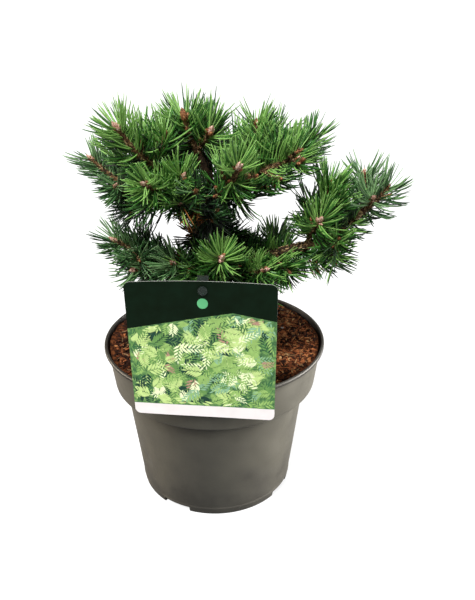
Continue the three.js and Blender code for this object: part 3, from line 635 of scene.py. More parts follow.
def ramp_roughness(item, shader, noise, low, high):
    spread = item.node_tree.nodes.new("ShaderNodeMapRange")
    set_inputs(spread, From_Min=0.3, From_Max=0.7, To_Min=low, To_Max=high)
    item.node_tree.links.new(noise.outputs["Fac"], spread.inputs["Value"])
    item.node_tree.links.new(spread.outputs["Result"], shader.inputs["Roughness"])


def bump(item, shader, noise, depth):
    node = item.node_tree.nodes.new("ShaderNodeBump")
    set_inputs(node, Distance=depth, Strength=1.0)
    item.node_tree.links.new(noise.outputs["Fac"], node.inputs["Height"])
    item.node_tree.links.new(node.outputs["Normal"], shader.inputs["Normal"])


def mottled(name, roughness, scale, stops, bump_depth, specular, stretch=(1, 1, 1)):
    """A material whose colour, gloss and fine relief follow noise of `scale` features a metre."""
    item, shader = new_material(name, roughness, specular)
    noise = noise_node(item, scale, stretch=stretch)
    ramp_colour(item, shader, noise, stops)
    ramp_roughness(item, shader, noise, roughness - 0.06, roughness + 0.06)
    bump(item, shader, noise_node(item, scale * 2.5, stretch=stretch), bump_depth)
    return item


def needle_material(name, code):
    item, shader = new_material(name, 0.38, 0.55)
    shader.inputs["Base Color"].default_value = srgb(code)
    ramp_roughness(item, shader, noise_node(item, 900), 0.3, 0.45)
    return item


# The tones of a green mass from its inner, most shaded needles to its brightest, those of a bluer mass, and
# the needles that have died. The five tones of a hue are copies of one colour with painted shade and painted
# light in them.
NEEDLE_TONES = (
    ("needle_green_deep_shade", "0a1806"),
    ("needle_green_dark", "1a3c12"),
    ("needle_green_middle", "2a5a1e"),
    ("needle_green_light", "41792e"),
    ("needle_green_bright", "84b35a"),
    ("needle_blue_deep_shade", "09160a"),
    ("needle_blue_dark", "183417"),
    ("needle_blue_middle", "284e26"),
    ("needle_blue_light", "406b39"),
    ("needle_blue_bright", "789e68"),
    ("needle_straw", "6a6036"),
    ("needle_dead", "8f5a2a"),
)
TONES_OF_A_HUE = 5
STRAW, RUST = 10, 11
NEEDLES = [needle_material(name, code) for name, code in NEEDLE_TONES]

BARK_TONES = ((0.28, "120e0a"), (0.45, "2a2016"), (0.58, "413121"), (0.72, "655139"))
YOUNG_TONES = ((0.3, "4a3a26"), (0.45, "8a7350"), (0.62, "bba981"))
TWIG_TONES = ((0.3, "21160d"), (0.5, "4c341f"), (0.7, "83653f"))
SCALE_TONES = (("241a11", "453120"), ("5c4227", "8c6a42"), ("9a7d55", "c8ae82"))
BUD_TONES = ((0.32, "3a2214"), (0.5, "804e30"), (0.68, "c0875c"))
RESIN_TONES = ((0.32, "7c4a38"), (0.48, "ba8a76"), (0.66, "ecd0c2"))
BARK = mottled("scaly_bark", 0.85, 170, BARK_TONES, 0.0009, 0.2, stretch=BARK_STRETCH)
YOUNG_BARK = mottled("young_bark", 0.8, 260, YOUNG_TONES, 0.0006, 0.2)
TWIG_BARK = mottled("twig_bark", 0.75, 420, TWIG_TONES, 0.0004, 0.25)
SCALES = [
    mottled(f"leaf_scale_{i + 1}", 0.7, 500, ((0.3, low), (0.7, high)), 0.0002, 0.25)
    for i, (low, high) in enumerate(SCALE_TONES)
]
SHEATH = mottled("needle_sheath", 0.7, 700, ((0.35, "33241a"), (0.65, "705338")), 0.0002, 0.25)
BUD = mottled("bud_scales", 0.55, 800, BUD_TONES, 0.0003, 0.3)
BUD_TIP = mottled("bud_resin", 0.5, 800, RESIN_TONES, 0.0003, 0.4)

# ---------------------------------------------------------------- wood
# Meshes of bark: sides, step along the limb and depth of the relief. From this radius on, a bough has
# the thick limb's mesh.
TRUNK_MESH, THICK_MESH, THIN_MESH = (36, 1.1, 0.85), (20, 1.0, 0.5), (14, 1.0, 0.38)
THICK_LIMB = 4.5
BOUGH_SWELL = 0.45
# How deep the trunk's foot stands in the mulch, and how much wider it and the outer bough begin there.
TRUNK_SUNK = 2.5
TRUNK_FLARE, OUTER_FLARE = 1.04, 1.02
OUTER_TAPER = 0.72


def tapered(radii):
    """The outer bough's radii, which shrink more towards its tip than the solid's do."""
    return radii * np.linspace(1.0, OUTER_TAPER, len(radii))


def make_wood():
    trunk = Joined()
    item = LIMBS["trunk"]
    path = np.vstack([item["path"][0] - UP * TRUNK_SUNK, item["path"]])
    radii = np.append(item["radii"][0] * TRUNK_FLARE, item["radii"])
    trunk.add(*bark_tube(path, radii, *TRUNK_MESH, swell=0.0))
    piece = trunk.build("trunk_bark", [BARK])
    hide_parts("trunk")

    boughs = Joined()
    for name, item in LIMBS.items():
        path, radii = item["path"], item["radii"]
        if name == OUTER_BOUGH:
            path = np.vstack([inner_path[-2:-1], path])
            radii = tapered(np.append(radii[0] * OUTER_FLARE, radii))
            boughs.add(*bark_tube(path, radii, *THICK_MESH, swell=0.0), 1)
        elif name != "trunk":
            mesh = THICK_MESH if radii[0] > THICK_LIMB else THIN_MESH
            boughs.add(*bark_tube(path, radii, *mesh, swell=BOUGH_SWELL), 0)
    piece = boughs.build("bough_bark", [BARK, YOUNG_BARK])
    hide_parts(*[f"{name}_bough" for name in LIMBS if name != "trunk"])


# ---------------------------------------------------------------- twigs and buds
# What marks single shoots, by their mass and number: a shown cluster of "bud"s of that size, which
# is "brown" where it isn't resinous; the part of the shoot that lies "bare" towards the front; how far
# its tip is "facing" the viewer; and its "share" of needles, against the usual.
SHOOTS = {
    ("top", 0): {"bud": 1.35, "brown": True, "bare": (0.25, 1)},
    ("top", 1): {"bud": 1.15, "bare": (0.4, 1)},
    ("upper_left", 0): {"bud": 1.0, "bare": (0.42, 1)},
    ("upper_left_outer", 0): {"bud": 0.7, "bare": (0.7, 1)},
    ("upper_left_outer", 1): {"bud": 0.6},
    ("upper_front_left", 0): {"bud": 0.85, "bare": (0.85, 1), "facing": 0.8},
    ("upper_front_left", 2): {"bud": 0.6},
    ("upper_front_left", 3): {"bud": 0.85, "facing": 0.8, "share": 1.6},
    ("upper_front_right", 0): {"bud": 1.05, "bare": (0.75, 1), "facing": 0.25},
    ("upper_right", 0): {"bud": 0.8, "brown": True, "bare": (0.2, 1)},
    ("upper_right", 1): {"bud": 0.9, "brown": True},
    ("upper_right", 3): {"bud": 0.75, "brown": True},
    ("lower_left", 0): {"bud": 0.8, "bare": (0.85, 1), "facing": 0.4},
    ("lower_left", 1): {"bud": 0.75},
    ("lower_front_left", 0): {"bud": 0.7},
    ("lower_front", 0): {"bud": 1.1, "bare": (0.85, 1), "facing": 0.5, "share": 1.6},
    ("lower_front_right", 0): {"bud": 0.8, "facing": 0.4},
    ("lower_right_middle", 0): {"bare": (0.1, 0.4), "share": 1.9},
    ("lower_right_middle", 1): {"bud": 1.0, "bare": (0.5, 1), "facing": 0.35},
    ("lower_right_tip", 0): {"bud": 0.6, "bare": (0, 1)},
    ("lower_right_tip", 1): {"bud": 0.75},
    ("lower_right_tip", 2): {"bud": 0.85},
}
CURVE_STEP = 1.0
TWIG_SIDES = 8
STEM_THICKER = 1.25
KNOB_SIZE, KNOB_SHIFT = 1.4, 1.7  # the size of a twig's knobs, and how they shift from side to side
# Side twigs: length, how far along the shoot and at what angle they leave it, and how they bend up.
LATERAL_LENGTH = (8.0, 13.0)
LATERAL_ALONG = (0.2, 0.6)
LATERAL_ANGLE = (38, 52)
LATERAL_UPTURN = 0.45
LATERAL_RADIUS = 1.3
LATERAL_OFF_WOOD, LATERAL_OFF_SOIL = 1.5, 14.0
# Leaf scales: width and length on twigs and on limbs, and how many for each square millimetre of
# length by radius. The upper trunk carries the darkest only, from this station on.
TWIG_SCALE, LIMB_SCALE = (1.5, 2.3), (1.9, 2.9)
SCALE_DENSITY = 1.5
SCALY_STATION = 7
# How their half width and their length vary, against the above, and how far their points stand off.
SCALE_HALF_WIDTHS, SCALE_LENGTHS, SCALE_LIFTS = (0.35, 0.65), (0.7, 1.25), (0.25, 1.0)
# Length and radius of buds: at the end of a plain twig, and the middle and side ones of a cluster.
PLAIN_BUD, MIDDLE_BUD, SIDE_BUD = (4.5, 1.4), (8.2, 2.2), (5.0, 1.6)
BUD_SIDES, BUD_RINGS = 10, 9
# The spiral of a bud's scales: how often it comes from foot to tip and round, and how far it stands out.
BUD_WHORLS, BUD_STARTS, BUD_RELIEF = 5, 2, 0.22
# A cluster's side buds: how many, the turn from one to the next, how they lean out, how far behind the
# tip and beside the twig they start, their sizes, and how many are resinous, on brown clusters and else.
SIDE_BUDS = (4, 7)
SIDE_BUD_TURN = 2.4
SIDE_BUD_LEANS = (0.45, 0.95)
SIDE_BUD_BACK = (0.5, 4.5)
SIDE_BUD_OUT = 1.2
SIDE_BUD_SIZES = (0.8, 1.15)
RESIN_IF_BROWN, RESIN_ELSE = 0.15, 0.5


def marks(twig):
    """What the table of shoots says about a twig."""
    return SHOOTS.get((twig["mass"], twig["order"]), {})


def new_twig(mass, path, radii, kind, order=-1):
    curve, radii = smooth_path(path, radii, CURVE_STEP)
    return {"mass": mass, "curve": curve, "radii": radii, "kind": kind, "order": order}


def make_twigs(masses):
    """Every line that carries needles: its mass, curve, radii, kind, and its number if it is a shoot."""
    twigs = []
    for number, mass in enumerate(masses):
        draw = np.random.default_rng(900 + number)
        name, on, core = mass["name"], mass["on"], mass["core"]
        if core:
            twigs.append(new_twig(name, *core, "limb"))
        elif on != "trunk" and name != SIDE_STEM[0]:
            wood = LIMBS[on]["wood"]
            part = slice(2 if wood > LIMB_STEPS / 2 else 0, wood + 1)
            twigs.append(new_twig(name, LIMBS[on]["path"][part], LIMBS[on]["radii"][part], "inner"))
        for order, (path, radii) in enumerate(mass["shoots"]):
            if core or order == 0:
                path = np.vstack([rooted_on(path[0], LIMBS[on]), path[1:]])
            kind = "shoot" if core or order else "stem"
            twig = new_twig(name, path, radii, kind, order)
            twigs.append(twig)
            twigs.extend(laterals(twig["curve"], name, draw, 2 if kind == "stem" else 1))
    return twigs


def rooted_on(foot, item):
    """The point inside a limb that a twig grows from."""
    path = item["path"][: item["wood"] + 1]
    inside = along_curve(path, np.linspace(0, 1, 8 * len(path) - 7))
    return inside[np.argmin(np.linalg.norm(inside - foot, axis=1))]


def laterals(curve, mass, draw, count):
    """Short side twigs in the lower part of a shoot, at the golden angle."""
    tangents, normals, binormals = frames_along(curve)
    found = []
    roll = draw.uniform(0, 2 * math.pi)
    for _ in range(count):
        roll += math.radians(GOLDEN_ANGLE)
        at = int(draw.uniform(*LATERAL_ALONG) * (len(curve) - 1))
        radial = normals[at] * math.cos(roll) + binormals[at] * math.sin(roll)
        angle = math.radians(draw.uniform(*LATERAL_ANGLE))
        start = tangents[at] * math.cos(angle) + radial * math.sin(angle)
        length = draw.uniform(*LATERAL_LENGTH)
        t = np.linspace(0, 1, int(length) + 2)[:, None]
        end = unit(start + LATERAL_UPTURN * UP)
        path = curve[at] + length * (start * t + (end - start) * t**2 / 2)
        if in_the_clear(path[len(path) // 2 :], LATERAL_OFF_WOOD, LATERAL_OFF_SOIL).all():
            radii = np.full(len(path), LATERAL_RADIUS)
            found.append({"mass": mass, "curve": path, "radii": radii, "kind": "lateral", "order": -1})
    return found


def build_twigs(twigs):
    wood, buds, scales = Joined(), Joined(), Joined()
    draw = np.random.default_rng(41)
    for twig in twigs:
        if twig["kind"] in ("limb", "inner"):
            continue
        curve = twig["curve"]
        radii = twig["radii"] * (STEM_THICKER if twig["kind"] == "stem" else 1)
        shift = KNOB_SHIFT * np.tile(np.arange(TWIG_SIDES), len(curve))[:, None]
        spots = np.repeat(curve, TWIG_SIDES, axis=0) + shift
        knobs = value_noise(spots, KNOB_SIZE, 8).reshape(len(curve), TWIG_SIDES)
        wood.add(*tube(curve, radii[:, None] * (0.8 + 0.3 * knobs), TWIG_SIDES))
        add_scales(scales, curve, radii * 0.93, TWIG_SCALE, draw)
        add_buds(buds, twig, draw)
    for name, item in LIMBS.items():
        radii = tapered(item["radii"]) if name == OUTER_BOUGH else item["radii"]
        first, tones = (SCALY_STATION, 1) if name == "trunk" else (0, len(SCALES))
        curve, radii = smooth_path(item["path"][first:], radii[first:], CURVE_STEP)
        add_scales(scales, curve, radii, LIMB_SCALE, draw, tones)
    piece = wood.build("twigs", [TWIG_BARK])
    piece = scales.build("bark_scales", SCALES, smooth=False)
    piece = buds.build("buds", [BUD, BUD_TIP])


def add_scales(piece, curve, radii, size, draw, tones=len(SCALES)):
    """Papery leaf scales in a close spiral, each a low wedge whose point stands off the twig."""
    tangents, normals, binormals = frames_along(curve)
    count = int(len(curve) * radii.mean() * SCALE_DENSITY)
    if count < 3:
        return
    at = np.clip(np.sort(draw.uniform(0, len(curve) - 1, count)), 0, len(curve) - 1.001)
    i = at.astype(int)
    roll = np.radians(GOLDEN_ANGLE) * np.arange(count) + draw.normal(0, 0.3, count)
    radial = normals[i] * np.cos(roll)[:, None] + binormals[i] * np.sin(roll)[:, None]
    side = np.cross(tangents[i], radial)
    foot = lerp(curve[i], curve[i + 1], (at - i)[:, None]) + radial * (radii[i] * 0.92)[:, None]
    wide = (size[0] * draw.uniform(*SCALE_HALF_WIDTHS, count))[:, None]
    long = (size[1] * draw.uniform(*SCALE_LENGTHS, count))[:, None]
    lift = draw.uniform(*SCALE_LIFTS, count)[:, None]
    point = foot + tangents[i] * long + radial * lift
    ridge = foot + tangents[i] * long * 0.35 + radial * (lift * 0.55 + 0.35)
    corners = np.stack([foot - side * wide, foot + side * wide, point, ridge], 1)
    piece.add_many(corners, ((0, 3, 2), (1, 2, 3), (0, 2, 1), (0, 1, 3)), draw.integers(0, tones, count))


def bud_shape(foot, along, size, scale, turn):
    """A bud: an egg of rings whose spiral of scales stands a little proud."""
    length, radius = size[0] * scale, size[1] * scale
    u = np.linspace(0, 0.97, BUD_RINGS)
    path = foot + along * (u * length)[:, None]
    outline = radius * np.sqrt(np.clip(1 - (2 * u**0.75 - 0.72) ** 2 / 1.7, 0.02, 1)) * (1 - u**5)
    scales = (u[:, None] * BUD_WHORLS + np.arange(BUD_SIDES) / BUD_SIDES * BUD_STARTS + turn) % 1.0
    return tube(path, outline[:, None] * (0.92 + BUD_RELIEF * scales), BUD_SIDES, tip=foot + along * length)


def add_buds(piece, twig, draw):
    """A cluster of resinous buds at the twig's end, or one small bud where none is marked."""
    tangents, normals, binormals = frames_along(twig["curve"])
    tip, along = twig["curve"][-1], tangents[-1]
    marked = marks(twig)
    if "bud" not in marked:
        piece.add(*bud_shape(tip - along, along, PLAIN_BUD, 1.0, draw.uniform()), 0)
        return
    size = marked["bud"] * draw.uniform(0.9, 1.1)
    brown = "brown" in marked
    piece.add(*bud_shape(tip - along * 1.5, along, MIDDLE_BUD, size, draw.uniform()), int(not brown))
    for k in range(int(draw.integers(*SIDE_BUDS))):
        roll = SIDE_BUD_TURN * k + draw.uniform(0, 1)
        radial = normals[-1] * math.cos(roll) + binormals[-1] * math.sin(roll)
        lean = unit(along + radial * draw.uniform(*SIDE_BUD_LEANS))
        foot = tip - along * draw.uniform(*SIDE_BUD_BACK) + radial * SIDE_BUD_OUT
        bud = bud_shape(foot, lean, SIDE_BUD, size * draw.uniform(*SIDE_BUD_SIZES), draw.uniform())
        piece.add(*bud, int(draw.uniform() < (RESIN_IF_BROWN if brown else RESIN_ELSE)))


# ---------------------------------------------------------------- needles
NEEDLE_LENGTH = 29.0
NEEDLE_WIDTH = 1.3
NEEDLE_THICKNESS = 0.85
PAIRS_PER_MM = 1.45
PAIR_ANGLE = 11.0
PAIR_GAP = 0.35
SHEATH_LENGTH = 2.4
# How each mass differs: its hue, how much lighter or darker it is (partly its own tone, partly painted shade
# and painted light for where it sits in the crown), how many needles it has and how long, against the usual,
# how much of its side towards the front is bare, and how its needles curve up.
HABITS = {
    "top": ("green", 0.0, 1.0, 1.1, 0.3, 0.35),
    "upper_left": ("green", 0.3, 1.0, 1.0, 0.6, 0.25),
    "upper_left_outer": ("blue", -0.4, 0.95, 0.85, 0.5, 0.25),
    "upper_front_left": ("green", 0.3, 1.2, 0.95, 0.2, 0.25),
    "upper_front": ("blue", -2.4, 1.3, 0.85, 0.1, 0.25),
    "upper_front_right": ("green", 0.4, 1.1, 0.96, 0.4, 0.45),
    "upper_right": ("green", 0.1, 1.3, 0.95, 0.5, 0.8),
    "upper_back_right": ("green", -0.2, 1.1, 1.1, 0.0, 0.5),
    "upper_back": ("green", 0.2, 1.0, 0.95, 0.0, 0.25),
    "upper_back_left": ("green", 0.2, 1.0, 0.95, 0.0, 0.25),
    "lower_left": ("blue", -0.4, 1.1, 0.93, 0.4, 0.35),
    "lower_front_left": ("blue", 0.5, 0.7, 0.95, 0.3, 0.25),
    "lower_front": ("green", -0.1, 1.1, 0.95, 0.2, 0.6),
    "lower_front_right": ("green", 0.4, 0.8, 0.95, 0.2, 0.25),
    "lower_right_inner": ("green", 0.6, 1.7, 0.88, 0.4, 0.35),
    "lower_right_middle": ("green", 0.1, 1.3, 0.95, 0.3, 0.45),
    "lower_right_outer": ("green", 0.9, 0.85, 0.9, 0.3, 0.5),
    "lower_right_tip": ("blue", 0.0, 0.72, 1.0, 0.5, 1.0),
    "lower_back_left": ("blue", 0.4, 0.6, 0.9, 0.0, 0.25),
    "lower_back_right": ("blue", -0.3, 1.0, 0.9, 0.0, 0.25),
    "trunk": ("green", -0.8, 1.6, 0.84, 0.1, 0.25),
}
# By kind of twig: how far needles lean from its line at its foot and at its tip, in degrees, and their
# number and length, against the usual.
NEEDLE_LEAN = {
    "inner": (74, 66, 0.85, 0.75),
    "limb": (70, 64, 0.9, 0.8),
    "stem": (74, 40, 0.95, 1.0),
    "shoot": (72, 40, 1.0, 1.0),
    "lateral": (62, 38, 0.9, 0.85),
}
# Needles on shoots with shown buds and on others: their share, and how evenly they are spread.
SHOWN_SHARE, PLAIN_SHARE = 1.3, 0.95
SHOWN_SPREAD, PLAIN_SPREAD = 0.7, 0.85
LEAN_VARIES = 9.0
LENGTH_VARIES = 0.07
# Where along a twig its needles begin, and their length along it: places, and the length at each.
NEEDLES_FROM = 0.06
LENGTH_PLACES, LENGTHS_THERE = (0, 0.4, 1), (0.88, 1, 0.95)
# How much more a needle leans at its foot, how much of its lean it loses, and how its upturn varies.
FOOT_LEAN = 0.16
CURLS = (0.15, 0.5)
UPTURNS = (0.3, 1.0)
# The cosine between a needle and the way to the viewer from which on it may be missing, and from which
# on that is as likely as it gets.
FRONT_FROM, FRONT_FULL = 0.6, 0.85
# Of the needles under a level twig, the part that is missing.
BARE_UNDERSIDE = 0.45
# Painted light and shade on needles: lighter towards the twig's tip and on shoots with a shown bud, where
# light falls, and darker along the inner wood, where shade falls.
TIP_PAINTED_LIGHT, SHOWN_BUD_PAINTED_LIGHT, INNER_PAINTED_SHADE = 1.1, 0.6, 2.0
# The masses that each joined piece of needles takes in.
NEEDLE_PIECES = {
    "needles_top": ("top", "upper_back", "upper_front"),
    "needles_upper_left": ("upper_left", "upper_left_outer", "upper_front_left"),
    "needles_upper_right": ("upper_right", "upper_front_right"),
    "needles_upper_back": ("upper_back_right", "upper_back_left"),
    "needles_lower_left": ("lower_left", "lower_front_left", "lower_back_left"),
    "needles_lower_middle": ("trunk", "lower_front", "lower_front_right", "lower_back_right"),
    "needles_lower_right": (
        "lower_right_inner",
        "lower_right_middle",
        "lower_right_outer",
        "lower_right_tip",
    ),
}


def pairs_on(twig, draw):
    """The needle pairs of one twig: feet, directions at foot and tip, lengths, axes and their painted light
    and shade.
    """
    curve, marked = twig["curve"], marks(twig)
    _, _, share, size, bare_front, upturn = HABITS[twig["mass"]]
    lean_foot, lean_tip, kind_share, kind_size = NEEDLE_LEAN[twig["kind"]]
    shown = "bud" in marked
    share *= kind_share * marked.get("share", SHOWN_SHARE if shown else PLAIN_SHARE)
    length = np.linalg.norm(np.diff(curve, axis=0), axis=1).sum()
    count = max(6, int(length * PAIRS_PER_MM * share))
    even = lerp(NEEDLES_FROM, 1, (np.arange(count) + draw.uniform(0, 1, count)) / count)
    t = even ** (SHOWN_SPREAD if shown else PLAIN_SPREAD)

    tangents, _, binormals = frames_along(curve)
    turned = marked.get("facing", 0) * np.clip(t * 2 - 1, 0, 1)[:, None]
    tangent = unit(along_curve(tangents, t) + turned * unit(VIEWPOINT - curve[-1]) * 1.6)
    normal = unit(np.cross(along_curve(binormals, t), tangent))
    binormal = np.cross(tangent, normal)
    roll = np.radians(GOLDEN_ANGLE) * np.arange(count) + draw.normal(0, 0.3, count)
    radial = unit(normal * np.cos(roll)[:, None] + binormal * np.sin(roll)[:, None])

    lean = np.radians(lerp(lean_foot, lean_tip, t**1.4) + draw.normal(0, LEAN_VARIES, count))
    at_foot, at_tip = lean + FOOT_LEAN, lean * (1 - draw.uniform(*CURLS, count))
    start = tangent * np.cos(at_foot)[:, None] + radial * np.sin(at_foot)[:, None]
    end = tangent * np.cos(at_tip)[:, None] + radial * np.sin(at_tip)[:, None]
    rise = draw.uniform(*UPTURNS, count) * upturn * (1.2 - tangent[:, 2])
    end = unit(end + UP * rise[:, None])
    radius = np.interp(t, np.linspace(0, 1, len(curve)), twig["radii"])
    feet = along_curve(curve, t) + radial * (radius * 0.8)[:, None]
    sizes = NEEDLE_LENGTH * size * kind_size * draw.normal(1, LENGTH_VARIES, count)
    sizes *= np.interp(t, LENGTH_PLACES, LENGTHS_THERE)
    spin = draw.uniform(0, 2 * math.pi, count)
    across = unit(np.cross(start, radial + 0.01))
    axis = unit(across * np.cos(spin)[:, None] + np.cross(start, across) * np.sin(spin)[:, None])

    # Some of the needles that point at the viewer, or down from a level twig, are missing.
    ahead = unit(VIEWPOINT - feet)
    heading_there = (unit(start + end) * ahead).sum(1)
    to_front = np.clip((heading_there - FRONT_FROM) / (FRONT_FULL - FRONT_FROM), 0, 1)
    keep = draw.uniform(0, 1, count) > to_front * bare_front * (0.3 if twig["order"] > 0 else 1)
    below = np.clip(-radial[:, 2] - 0.2, 0, 1) * (1 - np.abs(tangent[:, 2]))
    keep &= draw.uniform(0, 1, count) > below * BARE_UNDERSIDE
    # Painted light and shade: lighter towards the tip and by a shown bud, darker on the inner wood.
    lift = TIP_PAINTED_LIGHT * (t - 0.6) + SHOWN_BUD_PAINTED_LIGHT * shown - 0.2 - INNER_PAINTED_SHADE * (twig["kind"] == "inner")
    return [part[keep] for part in (feet, unit(start), end, sizes, axis, lift)]


BARE_WIDTH = 3.8
BUD_CLEARING = 4.2
# Stretches of bough that show towards the front: the bough, its first and last station, and how wide.
BARE_BOUGHS = (("lower_right", 4, 6, 2.28), (OUTER_BOUGH, 4, 7, 1.52))
# The recess between the two front rosettes, along which the dark heart of the crown shows.
RECESS = ((-3.0, -34.0, 350.0), (-1.0, -34.0, 337.0), (1.0, -34.0, 324.0), (3.0, -34.0, 311.0))
RECESS_WIDTH = 5.0


def bare_lines(twigs):
    """Lines that stay clear towards the front, each with its width: bare stems and shown buds."""
    lines = [(LIMBS[name]["path"][first:last], width) for name, first, last, width in BARE_BOUGHS]
    lines.append((np.array(RECESS), RECESS_WIDTH))
    for twig in twigs:
        curve, marked = twig["curve"], marks(twig)
        if "bare" in marked:
            first, last = (int(part * (len(curve) - 1)) for part in marked["bare"])
            lines.append((curve[first : last + 1], BARE_WIDTH))
        if "bud" in marked:
            along = unit(curve[-1] - curve[-3]) * marked["bud"]
            lines.append((curve[-1] + along * np.linspace(-2, 8, 5)[:, None], BUD_CLEARING * marked["bud"]))
    return lines


def covers_bare_stem(points, lines):
    """Whether each point hangs in front of a line that stays clear."""
    covers = np.zeros(len(points), bool)
    for line, width in lines:
        centre = line.mean(0)
        ahead = unit(VIEWPOINT - centre)
        flat = points - centre - ((points - centre) @ ahead)[:, None] * ahead
        shadow = line - centre - ((line - centre) @ ahead)[:, None] * ahead
        gap, _ = distances(flat, shadow[:: max(1, len(shadow) // 8)])
        covers |= (gap < width) & ((points - centre) @ ahead > 1.0)
    return covers


NEEDLE_OFF_WOOD, NEEDLE_OFF_SOIL = 0.3, 5.0
LANE_FRINGE = 6.0  # how far single needles may reach into an open lane


def clear_needles(feet, start, end, sizes, lines, draw):
    """Which needles stay out of the wood, the open lanes, the card, the mulch and bare stems' fronts."""
    clear = np.ones(len(feet), bool)
    reach_in = draw.uniform(0.0, LANE_FRINGE, len(feet))
    for at in (0.3, 0.6, 1.0):
        points = feet + sizes[:, None] * (start * at + (end - start) * at**2 / 2)
        clear &= in_the_clear(points, NEEDLE_OFF_WOOD, NEEDLE_OFF_SOIL, reach_in)
        clear &= ~covers_bare_stem(points, lines)
    return clear


# A needle's rings: how far along it they are and how large. Then its half-round outline: across and
# outwards, against half its width and its thickness. Then its triangles, with its tip as last point.
RING_AT = np.array([0.0, 0.22, 0.46, 0.7, 0.89])
RING_SIZE = np.array([0.72, 0.95, 1.0, 0.92, 0.6])
HALF_ROUND = np.array([(-0.62, 0.55), (0.62, 0.55), (1.0, -0.25), (-1.0, -0.25)])
NEEDLE_TIP = len(RING_AT) * len(HALF_ROUND)
NEEDLE_TRIANGLES = np.concatenate(
    [
        grid_triangles(len(RING_AT), len(HALF_ROUND)),
        fan(NEEDLE_TIP, np.arange(NEEDLE_TIP - len(HALF_ROUND), NEEDLE_TIP)),
    ]
)


def needle_shapes(feet, start, end, sizes, outward):
    """Points of many needles at once: five half-round rings and a tip, along a slight curve."""
    at = RING_AT[None, :, None]
    line = feet[:, None] + sizes[:, None, None] * (start[:, None] * at + (end - start)[:, None] * at**2 / 2)
    tip = feet + sizes[:, None] * (start + (end - start) / 2)
    heading = unit(start[:, None] + (end - start)[:, None] * at)
    side = unit(np.cross(heading, outward[:, None]))
    face = np.cross(side, heading)
    rings = [
        line
        + side * (across * NEEDLE_WIDTH / 2 * RING_SIZE)[None, :, None]
        + face * (out * NEEDLE_THICKNESS * RING_SIZE)[None, :, None]
        for across, out in HALF_ROUND
    ]
    points = np.stack(rings, 2)
    return np.concatenate([points.reshape(len(feet), -1, 3), tip[:, None]], 1)


# Light is followed from cell to cell of a grid, and fades by as many needles as its depth.
LIGHT_CELL = 7.0
LIGHT_CELLS = 12
LIGHT_DEPTH = 30.0
# What moves a needle's tone: painted light and shade from the light that reaches it, from how far it points
# up and from nearness to the trunk, and also its mass and chance.
TONE_BY_LIGHT, TONE_BY_HEADING, TONE_BY_MASS, TONE_VARIES, TONE_FLOOR = 4.6, 0.9, 0.7, 1.35, -1.9
TRUNK_SHADE, TRUNK_SHADE_REACH = 2.2, 22.0
# How many of the shaded needles have dried, and how many of those in a dead patch have died.
STRAW_SHARE, DEAD_SHARE = 0.09, 0.55
# Places where a few needles have died: x, y, z and how far round them.
DEAD_PATCHES = (
    (-15, -62, 309, 9),
    (-16, -46, 304, 10),
    (-17, -30, 299, 13),
    (-19, -10, 292, 12),
    (-20, 8, 286, 11),
    (-27, -28, 257, 9),
    (-62, -20, 250, 5),
    (96, -38, 254, 5),
)


def light_reaching(middles):
    """How much light reaches each needle, from 0 to 1, through the needles on the way to it."""
    low = middles.min(0) - 4 * LIGHT_CELL
    shape = np.ceil((middles.max(0) + 4 * LIGHT_CELL - low) / LIGHT_CELL).astype(int) + 1
    grid = np.zeros(shape)
    spot = ((middles - low) / LIGHT_CELL).astype(int)
    np.add.at(grid, tuple(spot.T), 1.0)
    towards = unit(TOWARDS_LIGHT)
    passed = np.zeros(len(middles))
    for step in range(1, LIGHT_CELLS + 1):
        probe = ((middles + towards * step * LIGHT_CELL - low) / LIGHT_CELL).astype(int)
        inside = ((probe >= 0) & (probe < shape)).all(1)
        passed[inside] += grid[tuple(probe[inside].T)]
    return np.exp(-passed / LIGHT_DEPTH)


def pick_tones(names, light, lift, heading, middles, draw):
    """The number of each needle's material, with painted light and shade: lighter in the light, darker
    inside and below.
    """
    blue = np.array([HABITS[name][0] == "blue" for name in names])
    lighter = np.array([HABITS[name][1] for name in names])
    level = TONE_BY_LIGHT * light + lift + TONE_BY_HEADING * heading[:, 2] + TONE_BY_MASS * lighter
    level += draw.normal(0, TONE_VARIES, len(light)) + TONE_FLOOR
    trunk_line, _ = smooth_path(LIMBS["trunk"]["path"], LIMBS["trunk"]["radii"], 4.0)
    from_trunk, _ = distances(middles, trunk_line)
    level -= TRUNK_SHADE * np.exp(-((from_trunk / TRUNK_SHADE_REACH) ** 2))
    level = np.clip(np.round(level), 0, TONES_OF_A_HUE - 1).astype(int)
    tones = level + TONES_OF_A_HUE * blue
    chance = draw.uniform(0, 1, len(light))
    tones = np.where((chance < STRAW_SHARE) & (light < 0.5), STRAW, tones)
    for x, y, z, radius in DEAD_PATCHES:
        near = np.linalg.norm(middles - (x, y, z), axis=1) < radius + 4 * draw.uniform(-1, 1, len(light))
        tones = np.where(near & (chance < DEAD_SHARE), RUST, tones)
    return tones


